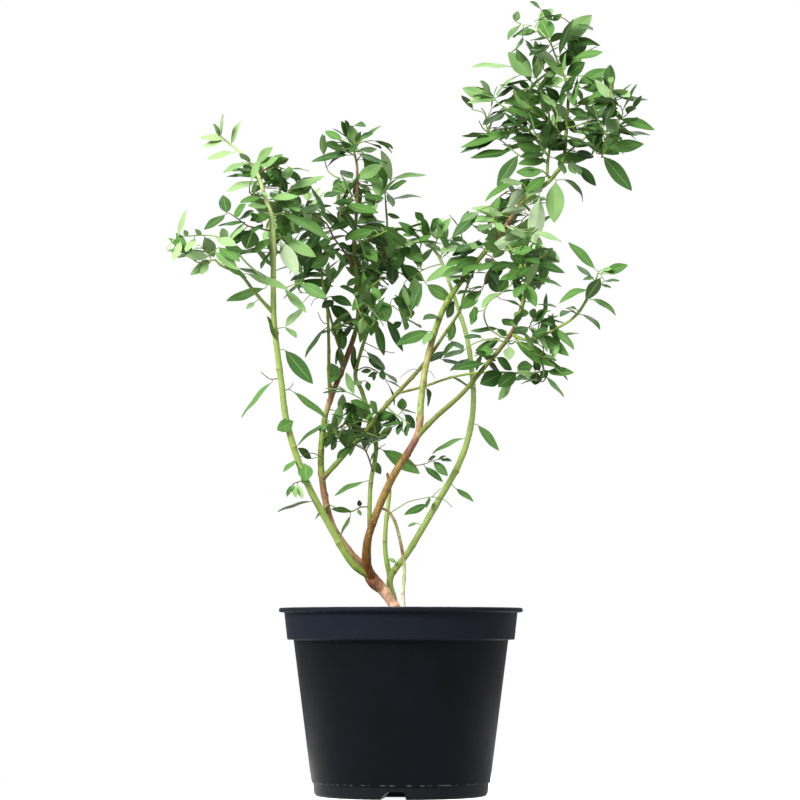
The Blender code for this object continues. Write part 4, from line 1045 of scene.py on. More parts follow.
class Finish(Nodes):
    """A material in the making."""

    def __init__(self, name, roughness=0.5, shine=0.5):
        self.material = bpy.data.materials.new(name)
        self.material.use_nodes = True
        super().__init__(self.material.node_tree)
        self.shader = self.tree.nodes["Principled BSDF"]
        self.paint(roughness=roughness)
        self.feed(self.shader.inputs["Specular IOR Level"], shine)

    def places(self):
        """Places on the object, in metres."""
        return self.node("TexCoord", output="Object")

    def stretched(self, across, along):
        """Places on the object, made denser across and along the limbs, which mostly rise."""
        return self.node("Mapping", None, {"Vector": self.places(), "Scale": (across, across, along)})

    def grain(self, places, scale, detail=2.0, roughness=0.55):
        """Cloudy noise from 0 to 1."""
        inputs = {"Vector": places, "Scale": scale, "Detail": detail, "Roughness": roughness}
        return self.node("TexNoise", None, inputs)

    def map_parts(self, name):
        """The two numbers of a map of the mesh."""
        places = self.node("UVMap", {"uv_map": name})
        return self.part(places, 0), self.part(places, 1)

    def mix(self, share, first, second, way="MIX"):
        """A colour between two."""
        settings = {"data_type": "RGBA", "blend_type": way}
        return self.node("Mix", settings, {0: share, 6: first, 7: second}, 2)

    def bump(self, height, distance, strength=1.0):
        inputs = {"Height": height, "Distance": distance, "Strength": strength}
        self.feed(self.shader.inputs["Normal"], self.node("Bump", None, inputs))

    def paint(self, shade=None, roughness=None):
        if shade is not None:
            self.feed(self.shader.inputs["Base Color"], shade)
        if roughness is not None:
            self.feed(self.shader.inputs["Roughness"], roughness)
        return self.material


def scaled(shade, factor):
    """A plain colour made lighter or darker."""
    return (*(min(1.0, part * factor) for part in shade[:3]), 1.0)


def between(first, second, share):
    """A plain colour between two."""
    return (*(a + (b - a) * share for a, b in zip(first[:3], second[:3])), 1.0)


def leaf_veins(finish, start):
    """The side veins, which fade towards the edge, and how far out on the blade a place is."""
    across, along = finish.map_parts("blade")
    side = abs(across - 0.5) * 2
    return (along * 8 - side * 1.7).turns().rise(start, 1.0) * side.rise(1.0, 0.7), side


def leaf_finishes(name, shade):
    """The upper side, the rib and the underside of a leaf of this tint."""
    face = Finish(f"leaf_{name}", 0.5, 0.16)
    veins, side = leaf_veins(face, 0.72)
    veins = veins * side.rise(0.05, 0.2)
    cloud = face.grain(face.places(), 90.0).rise(0.3, 0.7)
    lighter = between(shade, colour(190, 214, 150), 0.22)
    body = face.mix(cloud * 0.3, tuple(shade), scaled(shade, 0.72))
    face.bump(veins * -0.5 + face.grain(face.places(), 700.0), 0.0002, 0.35)
    face.paint(face.mix(veins * 0.2, body, lighter))
    rib = Finish(f"rib_{name}", 0.55, 0.15)
    rib_shade = between(shade, colour(176, 204, 120), 0.3)
    rib.paint(rib.mix(rib.grain(rib.places(), 200.0) * 0.4, rib_shade, shade))
    under = Finish(f"underside_{name}", 0.65, 0.12)
    under_shade = between(shade, colour(160, 190, 120), 0.34)
    veins, _ = leaf_veins(under, 0.6)
    cloud = under.grain(under.places(), 110.0).rise(0.3, 0.7)
    body = under.mix(cloud * 0.3, under_shade, scaled(under_shade, 0.82))
    under.bump(veins + under.grain(under.places(), 500.0) * 0.4, 0.00015, 0.3)
    under.paint(under.mix(veins * 0.3, body, scaled(under_shade, 1.2)))
    return [face.material, rib.material, under.material]


def limb_finish(name, finish, choices):
    """Bark of a limb: its colours along it, streaks, leaf scars and, where it is woody, flakes and pores."""
    made = Finish(f"bark_{name}", finish.roughness, 0.3)
    along, scars = made.map_parts("limb")
    streaks = made.grain(made.stretched(420.0, 60.0), 1.0, 3.0)
    blotches = made.grain(made.stretched(70.0, 22.0), 1.0, 2.0)
    drift = (blotches - 0.5) * 0.05
    stops = [(place, BARK_COLOURS[shade]) for place, shade in finish.stops]
    shade = made.node("ValToRGB", {"stops": stops}, {0: along + drift})
    shade = made.mix(streaks.rise(0.4, 0.75) * choices.streaks, shade, colour(236, 226, 196), "MULTIPLY")
    shade = made.mix(blotches.rise(0.55, 0.8) * 0.25, shade, colour(120, 96, 66), "MULTIPLY")
    shade = made.mix(scars.rise(0.35, 0.9) * 0.75, shade, tuple(choices.scar))
    height = streaks * 0.6
    if finish.flaking:
        flakes = made.grain(made.stretched(260.0, 70.0), 1.0, 5.0, 0.65)
        torn = flakes.rise(0.5, 0.58)
        shade = made.mix(torn * 0.45, shade, colour(160, 118, 92), "MULTIPLY")
        shade = made.mix(flakes.rise(0.36, 0.3) * 0.5, shade, colour(236, 196, 164))
        height = height + torn * 1.4
    dots = made.node("TexVoronoi", None, {"Vector": made.stretched(1.0, 0.6), "Scale": 480.0})
    pores = dots.rise(0.3, 0.18) * blotches.rise(0.45, 0.6)
    shade = made.mix(pores * 0.35, shade, colour(222, 212, 176))
    made.bump(height + pores * 0.5, 0.0004, 0.6)
    return made.paint(shade)


def twig_finishes():
    """Plain twig woods, dealt out by shoot, and the buds."""
    woods = {
        "green": colour(138, 166, 78),
        "pale": colour(184, 208, 138),
        "olive": colour(132, 132, 66),
        "brown": colour(118, 84, 58),
        "bud": colour(142, 128, 74),
    }
    made = {}
    for name, shade in woods.items():
        finish = Finish(f"twig_{name}", 0.5, 0.3)
        streaks = finish.grain(finish.stretched(500.0, 110.0), 1.0, 2.0)
        finish.bump(streaks, 0.0002, 0.5)
        made[name] = finish.paint(finish.mix(streaks.rise(0.35, 0.75) * 0.4, shade, scaled(shade, 0.6)))
    return made


# Meshes

# Shares of a cell of the bake map: the free edge round a part, a twig's ends and the edges of a limb's strip
CELL_EDGE = 0.04
TWIG_END = 0.02
STRIP_SIDE = 0.05
STRIP_END = 0.02


class Mould:
    """A mesh being put together from many twigs, with a bake map where each one has its own cell."""

    def __init__(self):
        self.points = []
        self.faces = []
        self.slots = []
        self.maps = []

    def tube(self, line, radii, sides, slot):
        """A round twig through these points, closed at both ends, with a cell of its own on the map."""
        rings = ring_frames(line)
        points = [line[0]]
        for point, (side, other), radius in zip(line, rings, radii):
            for step in range(sides):
                angle = math.tau * step / sides
                points.append(point + (side * math.cos(angle) + other * math.sin(angle)) * radius)
        points.append(line[-1] + (line[-1] - line[-2]).normalized() * radii[-1])
        last = len(points) - 1
        faces = []
        corners = []
        count = len(line)
        for step in range(sides):
            after = (step + 1) % sides
            left = step / sides
            right = (step + 1) / sides
            faces.append((0, 1 + after, 1 + step))
            corners.append(((left, 0), (right, TWIG_END), (left, TWIG_END)))
            for ring in range(count - 1):
                low = 1 + ring * sides
                high = low + sides
                down = TWIG_END + (1 - 2 * TWIG_END) * ring / (count - 1)
                up = TWIG_END + (1 - 2 * TWIG_END) * (ring + 1) / (count - 1)
                faces.append((low + step, low + after, high + after, high + step))
                corners.append(((left, down), (right, down), (right, up), (left, up)))
            top = 1 + (count - 1) * sides
            faces.append((top + step, top + after, last))
            corners.append(((left, 1 - TWIG_END), (right, 1 - TWIG_END), (left, 1)))
        start = len(self.points)
        self.points += [tuple(point) for point in points]
        self.faces += [[start + corner for corner in face] for face in faces]
        self.slots += [slot] * len(faces)
        self.maps.append(corners)

    def build(self, name, materials):
        """The finished object."""
        cells = math.ceil(math.sqrt(max(1, len(self.maps))))
        inner = 1 - 2 * CELL_EDGE
        flat = []
        for index, corners in enumerate(self.maps):
            left = index % cells + CELL_EDGE
            low = index // cells + CELL_EDGE
            for face in corners:
                for across, up in face:
                    flat += [(left + inner * across) / cells, (low + inner * up) / cells]
        mesh = bpy.data.meshes.new(name)
        mesh.from_pydata(self.points, [], self.faces)
        mesh.polygons.foreach_set("material_index", self.slots)
        mesh.uv_layers.new(name="OFBake").data.foreach_set("uv", flat)
        return finished(name, mesh, materials)


def finished(name, mesh, materials):
    """An object of this smooth mesh, in the scene."""
    for material in materials:
        mesh.materials.append(material)
    mesh.shade_smooth()
    mesh.validate()
    made = bpy.data.objects.new(name, mesh)
    bpy.context.scene.collection.objects.link(made)
    return made


def mesh_from(name, made):
    """A mesh of these new faces, turned outwards."""
    bmesh.ops.recalc_face_normals(made, faces=made.faces[:])
    mesh = bpy.data.meshes.new(name)
    made.to_mesh(mesh)
    made.free()
    return mesh


def join_rings(made, lower, upper):
    """Faces between two rings of points, one of which may be a single point."""
    count = max(len(lower), len(upper))
    for step in range(count):
        after = (step + 1) % count
        low = [lower[step % len(lower)], lower[after % len(lower)]]
        high = [upper[after % len(upper)], upper[step % len(upper)]]
        made.faces.new(list(dict.fromkeys(low + high)))


def run_along(places):
    """How far along a line each of its points lies."""
    run = [0.0]
    for first, second in zip(places, places[1:]):
        run.append(run[-1] + (second - first).length)
    return run


def placed(piece, slot, *nodes):
    """Rides the piece on the bush's one body, in place of these solids."""
    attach(piece, BODY)
    if nodes:
        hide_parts(*nodes)
    return piece


def ring_frames(line):
    """The two directions across a line at each point, turned as little as can be from one to the next."""
    side = Vector((0, 1, 0))
    frames = []
    for index in range(len(line)):
        along = (line[min(index + 1, len(line) - 1)] - line[max(index - 1, 0)]).normalized()
        side = side - along * side.dot(along)
        if side.length < 1e-4:
            side = along.orthogonal()
        side = side.normalized()
        frames.append((side, along.cross(side)))
    return frames


def smooth_line(points, step):
    """A curve through all points, which may hold a radius as a fourth number, in steps about this long."""
    found = []
    for span in range(len(points) - 1):
        before = points[max(span - 1, 0)]
        first = points[span]
        second = points[span + 1]
        after = points[min(span + 2, len(points) - 1)]
        steps = max(2, round((second - first).length / step))
        square = 2 * before - 5 * first + 4 * second - after
        cube = 3 * first - before - 3 * second + after
        for index in range(steps):
            share = index / steps
            found.append((2 * first + (second - before) * share + square * share**2 + cube * share**3) / 2)
    found.append(points[-1])
    return found


def limb_points(names):
    """The route of a limb in metres with its radius, through all its solids and on into the crown."""
    points = []
    for name in names:
        route = LIMBS[name] if not points else LIMBS[name][1:]
        points += [Vector(numbers) * MM for numbers in route]
    for across, down, away, radius in CROWN_ENDS.get(names[-1], []):
        place = seen_at(across, down, away)
        points.append(Vector((*place, radius * MM)))
    return points


def limb_knots(name, finish, length):
    """Where the leaf scars of a limb lie along it and which way each one faces."""
    chance = random.Random(name)
    knots = []
    place = finish.knots * MM * KNOT_START
    turn = chance.uniform(0, math.tau)
    while place < length:
        knots.append((place, turn))
        place += finish.knots * MM * chance.uniform(*KNOT_GAPS)
        turn += GOLDEN_TURN
    return knots


def limb_skin(line, run, knots, sides, finish, choices):
    """The limb's points ring by ring, grown by its bark, and how much each one lies in a leaf scar."""
    places = [point.xyz for point in line]
    frames = ring_frames(places)
    points = []
    scars = []
    for point, middle, done, (side, other) in zip(line, places, run, frames):
        radius = point.w
        foot = 1 + finish.flare * math.exp(-done / (3 * line[0].w))
        for step in range(sides):
            angle = math.tau * step / sides
            out = side * math.cos(angle) + other * math.sin(angle)
            around = middle + out * radius
            ridges = noise.noise(around * RIDGES)
            lumps = noise.noise(around * LUMPS)
            grown = radius * foot * (1 + LUMP_SHARE * lumps) + choices.relief * ridges
            if finish.flaking:
                flakes = noise.fractal(around * FLAKES, 1.0, 2.0, 4)
                grown += finish.flaking * MM * max(-FLAKE_LIMIT, min(FLAKE_LIMIT, flakes)) * FLAKE_SHARE
            scar = 0.0
            for place, turn in knots:
                apart = abs(done - place)
                if apart < SCAR_REACH:
                    near = math.exp(-((apart / SCAR_LENGTH) ** 2))
                    swollen = math.exp(-((apart / SWELLING_LENGTH) ** 2))
                    facing = math.cos(angle - turn)
                    scar = max(scar, near * (SCAR_ROUND + (1 - SCAR_ROUND) * max(0.0, facing)))
                    grown += radius * swollen * (SWELLING + BUD_SWELLING * max(0.0, facing) ** 6)
            points.append(middle + out * grown)
            scars.append(scar)
    return points, scars


def limb_strips(count, sides, strips):
    """The bake map of a limb's faces: its skin in strips, side by side, and then its two ends."""
    per_strip = math.ceil((count - 1) / strips)
    inner = 1 - 2 * STRIP_END
    edges = [STRIP_SIDE + (1 - 2 * STRIP_SIDE) * step / sides for step in range(sides + 1)]
    end = 0.75 * STRIP_END
    flat = []
    for ring in range(count - 1):
        strip = ring // per_strip
        low = (ring % per_strip) / per_strip * inner + STRIP_END
        high = low + inner / per_strip
        for first, second in zip(edges, edges[1:]):
            left = (strip + first) / strips
            right = (strip + second) / strips
            flat += [left, low, right, low, right, high, left, high]
    for first, second in zip(edges, edges[1:]):
        left = first / strips
        right = second / strips
        flat += [left, 0, right, end, left, end]
        flat += [left, 1 - end, right, 1 - end, left, 1]
    return flat


def limb_mesh(name, finish, choices):
    """A limb with its leaf scars, buds and bark relief, and its colour map."""
    line = smooth_line(limb_points(finish.nodes), choices.ring_step)
    places = [point.xyz for point in line]
    count = len(line)
    foot_radius = line[0].w
    sides = next(number for radius, number in LIMB_SIDES if foot_radius < radius * MM)
    run = run_along(places)
    knots = limb_knots(name, finish, run[-1])
    points, scars = limb_skin(line, run, knots, sides, finish, choices)
    foot = len(points)
    top = (count - 1) * sides
    points.append(places[0])
    points.append(places[-1] + (places[-1] - places[-2]).normalized() * line[-1].w)
    scars += [0.0, 0.0]
    shares = [done / run[-1] for done in run for _ in range(sides)] + [0.0, 1.0]
    faces = []
    for low in range(0, top, sides):
        for step in range(sides):
            after = (step + 1) % sides
            faces.append((low + step, low + after, low + sides + after, low + sides + step))
    for step in range(sides):
        after = (step + 1) % sides
        faces.append((foot, after, step))
        faces.append((top + step, top + after, foot + 1))
    mesh = bpy.data.meshes.new(name)
    mesh.from_pydata([tuple(point) for point in points], [], faces)
    flat = [number for face in faces for corner in face for number in (shares[corner], scars[corner])]
    mesh.uv_layers.new(name="limb").data.foreach_set("uv", flat)
    strips = max(1, round(math.sqrt(run[-1] / (math.tau * foot_radius))))
    mesh.uv_layers.new(name="OFBake").data.foreach_set("uv", limb_strips(count, sides, strips))
    return mesh


# Growth


class Leaf(NamedTuple):
    """One leaf: where it starts and ends, which way its upper side faces, and its shape."""

    foot: Vector
    tip: Vector
    face: Vector
    width: float
    arch: float
    twist: float
    tint: str


class Crown:
    """One part of the crown while it grows: its wood, its leaves and the room of the masses that it fills."""

    def __init__(self, region, choices):
        self.region = region
        self.choices = choices
        self.chance = random.Random(f"{region} {choices.seed}")
        self.places = []
        self.ways = []
        self.pixels = []
        self.twigs = []
        self.leaves = []
        self.buds = []
        self.shown = []
        self.sky = OPEN_SKY.get(region, [])
        self.nodes = [f"foliage_{name}" for name in MASSES[region]]
        self.nodes += [f"sprig_{name}" for name in SPRIGS.get(region, [])]
        self.room = {name: solid_of(name) for name in self.nodes}

    def remember(self, line):
        """Adds a limb or a shoot to the wood that others can grow from."""
        for index, place in enumerate(line):
            along = line[min(index + 1, len(line) - 1)] - line[max(index - 1, 0)]
            self.places.append(place)
            self.ways.append(along.normalized())
            self.pixels.append(pixel_of(place))

    def in_the_way(self, foot, tip):
        """Whether a leaf would close a gap, or hide a shoot or leaf, that the viewer sees."""
        shown = self.shown
        heeds = self.chance.random() < CLEAR_SHARES[self.region]
        for share in (0.4, 0.7, 1.0):
            place = foot + (tip - foot) * share
            across, down = pixel_of(place)
            if any(math.hypot(u - across, v - down) < reach for u, v, reach in self.sky):
                return True
            near = np.hypot(shown[:, 0] - across, shown[:, 1] - down) < CLEAR_PIXELS
            if heeds and (near & (shown[:, 2] > place.y + CLEAR_AWAY)).any():
                return True
        return False

    def depth_inside(self, place):
        """How deep the place lies in the masses, in metres, below 0 outside them."""
        best = -1.0
        for tree in self.room.values():
            found, normal, _, distance = tree.find_nearest(place)
            inside = (place - found).dot(normal) < 0
            best = max(best, distance if inside else -distance)
        return best

    def add_shoot(self, line, thick, thin, wood):
        count = len(line)
        radii = [thick + (thin - thick) * index / (count - 1) for index in range(count)]
        self.twigs.append((line, radii, wood))
        self.remember(line)

    def nearest_seen(self, across, down):
        """The wood nearest to this pixel as the viewer sees it."""
        seen = np.array(self.pixels)
        gaps = np.hypot(seen[:, 0] - across, seen[:, 1] - down)
        return int(np.argmin(gaps))

    def nearest_wood(self, place):
        """The wood that a new shoot to this place springs from, best from below it."""
        wood = np.array(self.places)
        gaps = np.linalg.norm(wood - np.array(place), axis=1)
        above = np.maximum(0, wood[:, 2] - place.z + 0.01)
        return int(np.argmin(gaps + ABOVE_COST * above))

    def place_seen_leaf(self, row, tint):
        """A listed leaf, on a stalk from the nearest wood."""
        chance = self.chance
        across, down, tip_across, tip_down, shown = row[:5]
        arch = (row[5] if len(row) > 5 else chance.uniform(0.03, 0.08)) * READ_ARCH
        wood = self.places[self.nearest_seen(across, down)]
        foot = seen_at(across, down, wood.y / MM)
        tip = seen_at(tip_across, tip_down, wood.y / MM)
        flat = (tip - foot).length
        full = self.choices.length * chance.uniform(*READ_LENGTHS)
        hidden = math.sqrt(max(0.0, full * full - flat * flat)) * READ_HIDDEN
        towards = hidden * (-1 if chance.random() < READ_TOWARDS else 1) + flat * chance.uniform(-0.18, 0.12)
        if self.region == "low":
            towards = -LOW_TOWARDS * abs(towards)
        elif flat < SHORT_SHARE * full:
            towards *= SHORT_TOWARDS
        tip = seen_at(tip_across, tip_down, (wood.y + towards) / MM)
        along = tip - foot
        length = along.length
        along = along.normalized()
        full_width = max(self.choices.width * length * chance.uniform(0.9, 1.1), shown * METRES_PER_PIXEL)
        lean = math.acos(min(1.0, shown * METRES_PER_PIXEL / full_width))
        viewer = CAMERA_POINT - (foot + tip) / 2
        viewer = (viewer - along * viewer.dot(along)).normalized()
        side = along.cross(viewer)
        if side.z < 0:
            side = -side
        face = viewer * math.cos(lean) + side * math.sin(lean)
        if tint == "grey":
            face = side * math.sin(lean) - viewer * math.cos(lean)
        self.leaves.append(Leaf(foot, tip, face, full_width, arch, chance.uniform(-0.3, 0.3), tint))
        for share in (0.3, 0.6, 0.9):
            place = foot + (tip - foot) * share
            self.shown.append((*pixel_of(place), place.y))
        gap = foot - wood
        if gap.length > STALK_GAP:
            middle = wood + gap * 0.55 + Vector((0, 0, 0.06 * gap.length))
            thick = STALK_RADIUS if gap.length < LONG_STALK else LONG_STALK_RADIUS
            line = smooth_line([wood, middle, foot + along * 0.001], STALK_STEP)
            self.add_shoot(line, thick, STALK_TIP_RADIUS, "pale" if tint == "young" else "green")

    def grow_leaf(self, foot, way, turn, size, spread, tint):
        """A leaf by the rule, kept inside the room of the masses."""
        chance = self.chance
        across = way.orthogonal().normalized()
        length = self.choices.length * size * LEAF_SIZES[self.region]
        for _ in range(LEAF_TRIES):
            out = Matrix.Rotation(turn, 3, way) @ across
            along = way * math.cos(spread) + out * math.sin(spread)
            along = (along + Vector((0, 0, LEAF_DROOP + chance.uniform(-0.14, 0.14)))).normalized()
            tip = foot + along * length
            if self.depth_inside(tip) > -ROOM_SLACK and not self.in_the_way(foot, tip):
                break
            turn += RETRY_TURN
            length *= RETRY_LENGTH
        else:
            return
        up = way * 0.3 + Vector((0, 0, 1)) + Vector(chance.uniform(-0.45, 0.45) for _ in range(3))
        face = (up - along * up.dot(along)).normalized()
        width = self.choices.width * length * chance.uniform(0.85, 1.12)
        arch = chance.uniform(0.02, 0.1)
        self.leaves.append(Leaf(foot, tip, face, width, arch, chance.uniform(-0.4, 0.4), tint))
        if chance.random() < BUD_SHARE:
            self.buds.append((foot, (way + out * 0.8).normalized()))

    def leafy_shoot(self, line, tint, share=1.0, bare=0.25):
        """Leaves up a shoot, each turned on from the one before, with a small tuft at the tip."""
        chance = self.chance
        run = run_along(line)
        turn = chance.uniform(0, math.tau)
        place = run[-1] * bare
        while place < run[-1] * 0.97:
            index = max(i for i, done in enumerate(run) if done <= place)
            index = min(index, len(line) - 2)
            step = line[index + 1] - line[index]
            foot = line[index] + step * ((place - run[index]) / max(step.length, 1e-6))
            size = chance.uniform(0.8, 1.12) * (1.0 - 0.2 * place / run[-1])
            spread = math.radians(chance.uniform(*LEAF_SPREAD))
            self.grow_leaf(foot, step.normalized(), turn, size, spread, self.near_tint(tint))
            turn += GOLDEN_TURN + chance.uniform(-0.3, 0.3)
            place += self.choices.spacing / share * chance.uniform(0.75, 1.3)
        way = (line[-1] - line[-2]).normalized()
        for number in range(TUFT):
            spread = math.radians(chance.uniform(*TUFT_SPREAD))
            size = chance.uniform(0.5, 0.8)
            self.grow_leaf(line[-1], way, turn + number * TUFT_TURN, size, spread, self.near_tint(tint))

    def near_tint(self, tint):
        """Mostly the tint of the shoot, now and then the next one."""
        if self.chance.random() < SAME_TINT:
            return tint
        place = TINT_ORDER.index(tint) + self.chance.choice((-1, 1))
        return TINT_ORDER[max(1, min(len(TINT_ORDER) - 1, place))]

    def shoot_tint(self):
        shares = TINT_SHARES[self.region]
        return self.chance.choices(list(shares), list(shares.values()))[0]

    def shoot_goals(self):
        """Places spread through the masses, under their skin, where the shoots end."""
        goals = []
        for name, tree in self.room.items():
            low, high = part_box(name)
            size = high - low
            litres = size.x * size.y * size.z * MASS_SHARE * 1000
            fullness = MASSES[self.region].get(name.removeprefix("foliage_"), 0)
            wanted = round(litres * self.choices.density * fullness)
            tries = 0
            while wanted and tries < GOAL_TRIES:
                tries += 1
                place = Vector(a + (b - a) * self.chance.random() for a, b in zip(low, high))
                found, normal, _, distance = tree.find_nearest(place)
                if (place - found).dot(normal) < 0 and GOAL_DEPTHS[0] < distance < GOAL_DEPTHS[1]:
                    goals.append(place)
                    wanted -= 1
        return goals

    def fill_masses(self):
        """Shoots to the goals in the masses, each from the nearest wood, the nearest ones first."""
        chance = self.chance
        goals = self.shoot_goals()
        while goals:
            starts = [self.nearest_wood(goal) for goal in goals]
            reach = [(self.places[start] - goal).length for start, goal in zip(starts, goals)]
            pick = reach.index(min(reach))
            goal = goals.pop(pick)
            start = starts[pick]
            foot = self.places[start]
            gap = goal - foot
            if gap.length < SHORTEST_SHOOT:
                continue
            way = (self.ways[start] * SHOOT_FOLLOWS + gap.normalized()).normalized()
            bend = foot + way * gap.length * 0.5 + Vector((0, 0, -SHOOT_SAG * gap.length))
            line = smooth_line([foot, bend, goal], SHOOT_STEP)
            wood = chance.choices(list(SHOOT_WOODS), list(SHOOT_WOODS.values()))[0]
            self.add_shoot(line, SHOOT_RADIUS + SHOOT_TAPER * gap.length, SHOOT_TIP_RADIUS, wood)
            bare = BARE_SHARE if gap.length < LONG_SHOOT else 1 - LEAFY_LENGTH / gap.length
            self.leafy_shoot(line, self.shoot_tint(), 1.0, bare)


def solid_of(name):
    """A search tree over a solid of the frame."""
    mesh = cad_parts[name].data
    places = [vertex.co.copy() for vertex in mesh.vertices]
    return BVHTree.FromPolygons(places, [tuple(face.vertices) for face in mesh.polygons])


def grown_crown(region, choices):
    """A part of the crown, grown in the same order each time."""
    crown = Crown(region, choices)
    for finish in LIMB_FINISHES.values():
        crown.remember([point.xyz for point in smooth_line(limb_points(finish.nodes), LINE_STEP)])
    lines = [smooth_line([seen_at(*point) for point in route.points], LINE_STEP) for route in SHOOTS[region]]
    for line in lines:
        crown.shown += [(*pixel_of(place), place.y) for place in line]
    crown.shown += [(*pixel, place.y) for pixel, place in zip(crown.pixels, crown.places)]
    leafy = []
    for route, line in zip(SHOOTS[region], lines):
        # The foot moves onto the wood that it springs from
        line[0] = crown.places[crown.nearest_seen(*route.points[0][:2])]
        crown.add_shoot(line, route.thick * MM, route.thin * MM, route.wood)
        if route.leafy:
            leafy.append((line, route.leafy))
    for tint, rows in LEAVES[region].items():
        for row in rows:
            crown.place_seen_leaf(row, tint)
    crown.shown = np.array(crown.shown)
    for line, share in leafy:
        crown.leafy_shoot(line, crown.shoot_tint(), share)
    crown.fill_masses()
    return crown


def leaf_half_widths():
    """The outline: half its width at each row, 1 at its widest."""
    share = np.clip((LEAF_ROWS - STALK_END) / (1 - STALK_END), 0, 1)
    widths = np.sin(np.pi * share**0.9) ** 0.82
    return np.where(LEAF_ROWS > 0, np.maximum(widths, STALK_WIDTH * (LEAF_ROWS < 1)), 0)


def leaf_surface(leaves, fold):
    """Points of all leaves as (leaf, row, column) grids, of the upper side and of the underside."""
    parts = [np.array(part).reshape(len(leaves), 1, 1, -1) for part in list(zip(*leaves))[:6]]
    foot, tip, face, width, arch, twist = parts
    span = tip - foot
    length = np.linalg.norm(span, axis=-1, keepdims=True)
    side = np.cross(span / length, face)
    row = LEAF_ROWS[None, :, None, None]
    column = LEAF_COLUMNS[None, None, :, None]
    half = leaf_half_widths()[None, :, None, None] * width / 2
    middle = foot + span * row + face * arch * length * 4 * row * (1 - row)
    slope = span + face * arch * length * 4 * (1 - 2 * row)
    slope = slope / np.linalg.norm(slope, axis=-1, keepdims=True)
    up = np.cross(side, slope)
    turn = twist * (row - 0.4)
    across = side * np.cos(turn) + up * np.sin(turn)
    raised = up * np.cos(turn) - side * np.sin(turn)
    bow = EDGE_BOW + WAVE_DEPTH * np.sin(math.tau * WAVES * row + 40 * twist)
    lift = half * (math.tan(fold) * (np.abs(column) - 0.5) - bow * column**2)
    top = middle + across * half * column + raised * lift
    inner = np.where(np.abs(LEAF_COLUMNS) < 0.2, RIB_THICKNESS, LEAF_THICKNESS) * (np.abs(LEAF_COLUMNS) < 1)
    thick = inner[None, None, :, None] * np.where((row > 0) & (row < 1), 1, 0)
    return top, top - raised * thick


def leaf_template():
    """A leaf's faces as corner numbers, which side each lies on, and its corners' places on the blade."""
    rows = len(LEAF_ROWS)
    columns = len(LEAF_COLUMNS)
    upper = {(0, c): 0 for c in range(columns)} | {(rows - 1, c): 1 for c in range(columns)}
    lower = dict(upper)
    order = [("top", 0, 0), ("top", rows - 1, 0)]
    for row in range(1, rows - 1):
        for column in range(columns):
            upper[row, column] = len(order)
            order.append(("top", row, column))
    for row in range(1, rows - 1):
        for column in range(columns):
            if 0 < column < columns - 1:
                lower[row, column] = len(order)
                order.append(("under", row, column))
            else:
                lower[row, column] = upper[row, column]
    faces = []
    slots = []
    blades = []
    for row in range(rows - 1):
        for column in range(columns - 1):
            corners = [(row, column), (row, column + 1), (row + 1, column + 1), (row + 1, column)]
            if row == 0:
                corners.pop(1)
            if row == rows - 2:
                corners.pop(2)
            middle = column == columns // 2 - 1
            for numbers, slot in ((upper, RIB if middle or row == 0 else TOP), (lower, UNDER)):
                # Both sides are cut along the same diagonal, so neither pokes through the other
                for last in range(2, len(corners)):
                    ring = [corners[0], corners[last - 1], corners[last]]
                    if slot == UNDER:
                        ring.reverse()
                    faces.append([numbers[corner] for corner in ring])
                    slots.append(slot)
                    blades.append([(0.5 + LEAF_COLUMNS[c] / 2, LEAF_ROWS[r]) for r, c in ring])
    return order, faces, slots, blades


def leaf_piece(name, leaves, finishes, fold):
    """All leaves of a part of the crown as one mesh."""
    order, faces, slots, blades = leaf_template()
    top, under = leaf_surface(leaves, fold)
    columns = [(top if side == "top" else under)[:, row, column] for side, row, column in order]
    points = np.stack(columns, axis=1)
    count, per_leaf = points.shape[:2]
    sizes = np.array([len(face) for face in faces])
    corners = np.concatenate(faces)
    all_corners = (corners[None, :] + np.arange(count)[:, None] * per_leaf).reshape(-1)
    starts = np.concatenate([[0], np.cumsum(np.tile(sizes, count))[:-1]])
    tints = list(finishes)
    firsts = np.array([tints.index(leaf.tint) * 3 for leaf in leaves])
    all_slots = (np.array(slots)[None, :] + firsts[:, None]).reshape(-1)
    mesh = bpy.data.meshes.new(name)
    mesh.vertices.add(count * per_leaf)
    mesh.vertices.foreach_set("co", points.reshape(-1))
    mesh.loops.add(len(all_corners))
    mesh.loops.foreach_set("vertex_index", all_corners)
    mesh.polygons.add(len(starts))
    mesh.polygons.foreach_set("loop_start", starts)
    mesh.polygons.foreach_set("material_index", all_slots)
    blade = np.concatenate([np.array(face) for face in blades])
    mesh.uv_layers.new(name="blade").data.foreach_set("uv", np.tile(blade, (count, 1)).reshape(-1))
    # The bake map: a cell for each leaf, with its upper side on the left and its underside on the right
    shown_under = np.repeat(np.array(slots) == UNDER, sizes)
    cells = math.ceil(math.sqrt(count))
    number = np.arange(count)
    own = np.stack([blade[:, 0] * 0.44 + 0.03 + 0.5 * shown_under, blade[:, 1] * 0.94 + 0.03], axis=1)
    corner = np.stack([number % cells, number // cells], axis=1)
    baked = (own[None, :, :] + corner[:, None, :]) / cells
    mesh.uv_layers.new(name="OFBake").data.foreach_set("uv", baked.reshape(-1))
    mesh.update()
    piece = finished(name, mesh, [material for three in finishes.values() for material in three])
    mesh.set_sharp_from_angle(angle=LEAF_EDGE_ANGLE)
    return piece


# The pot


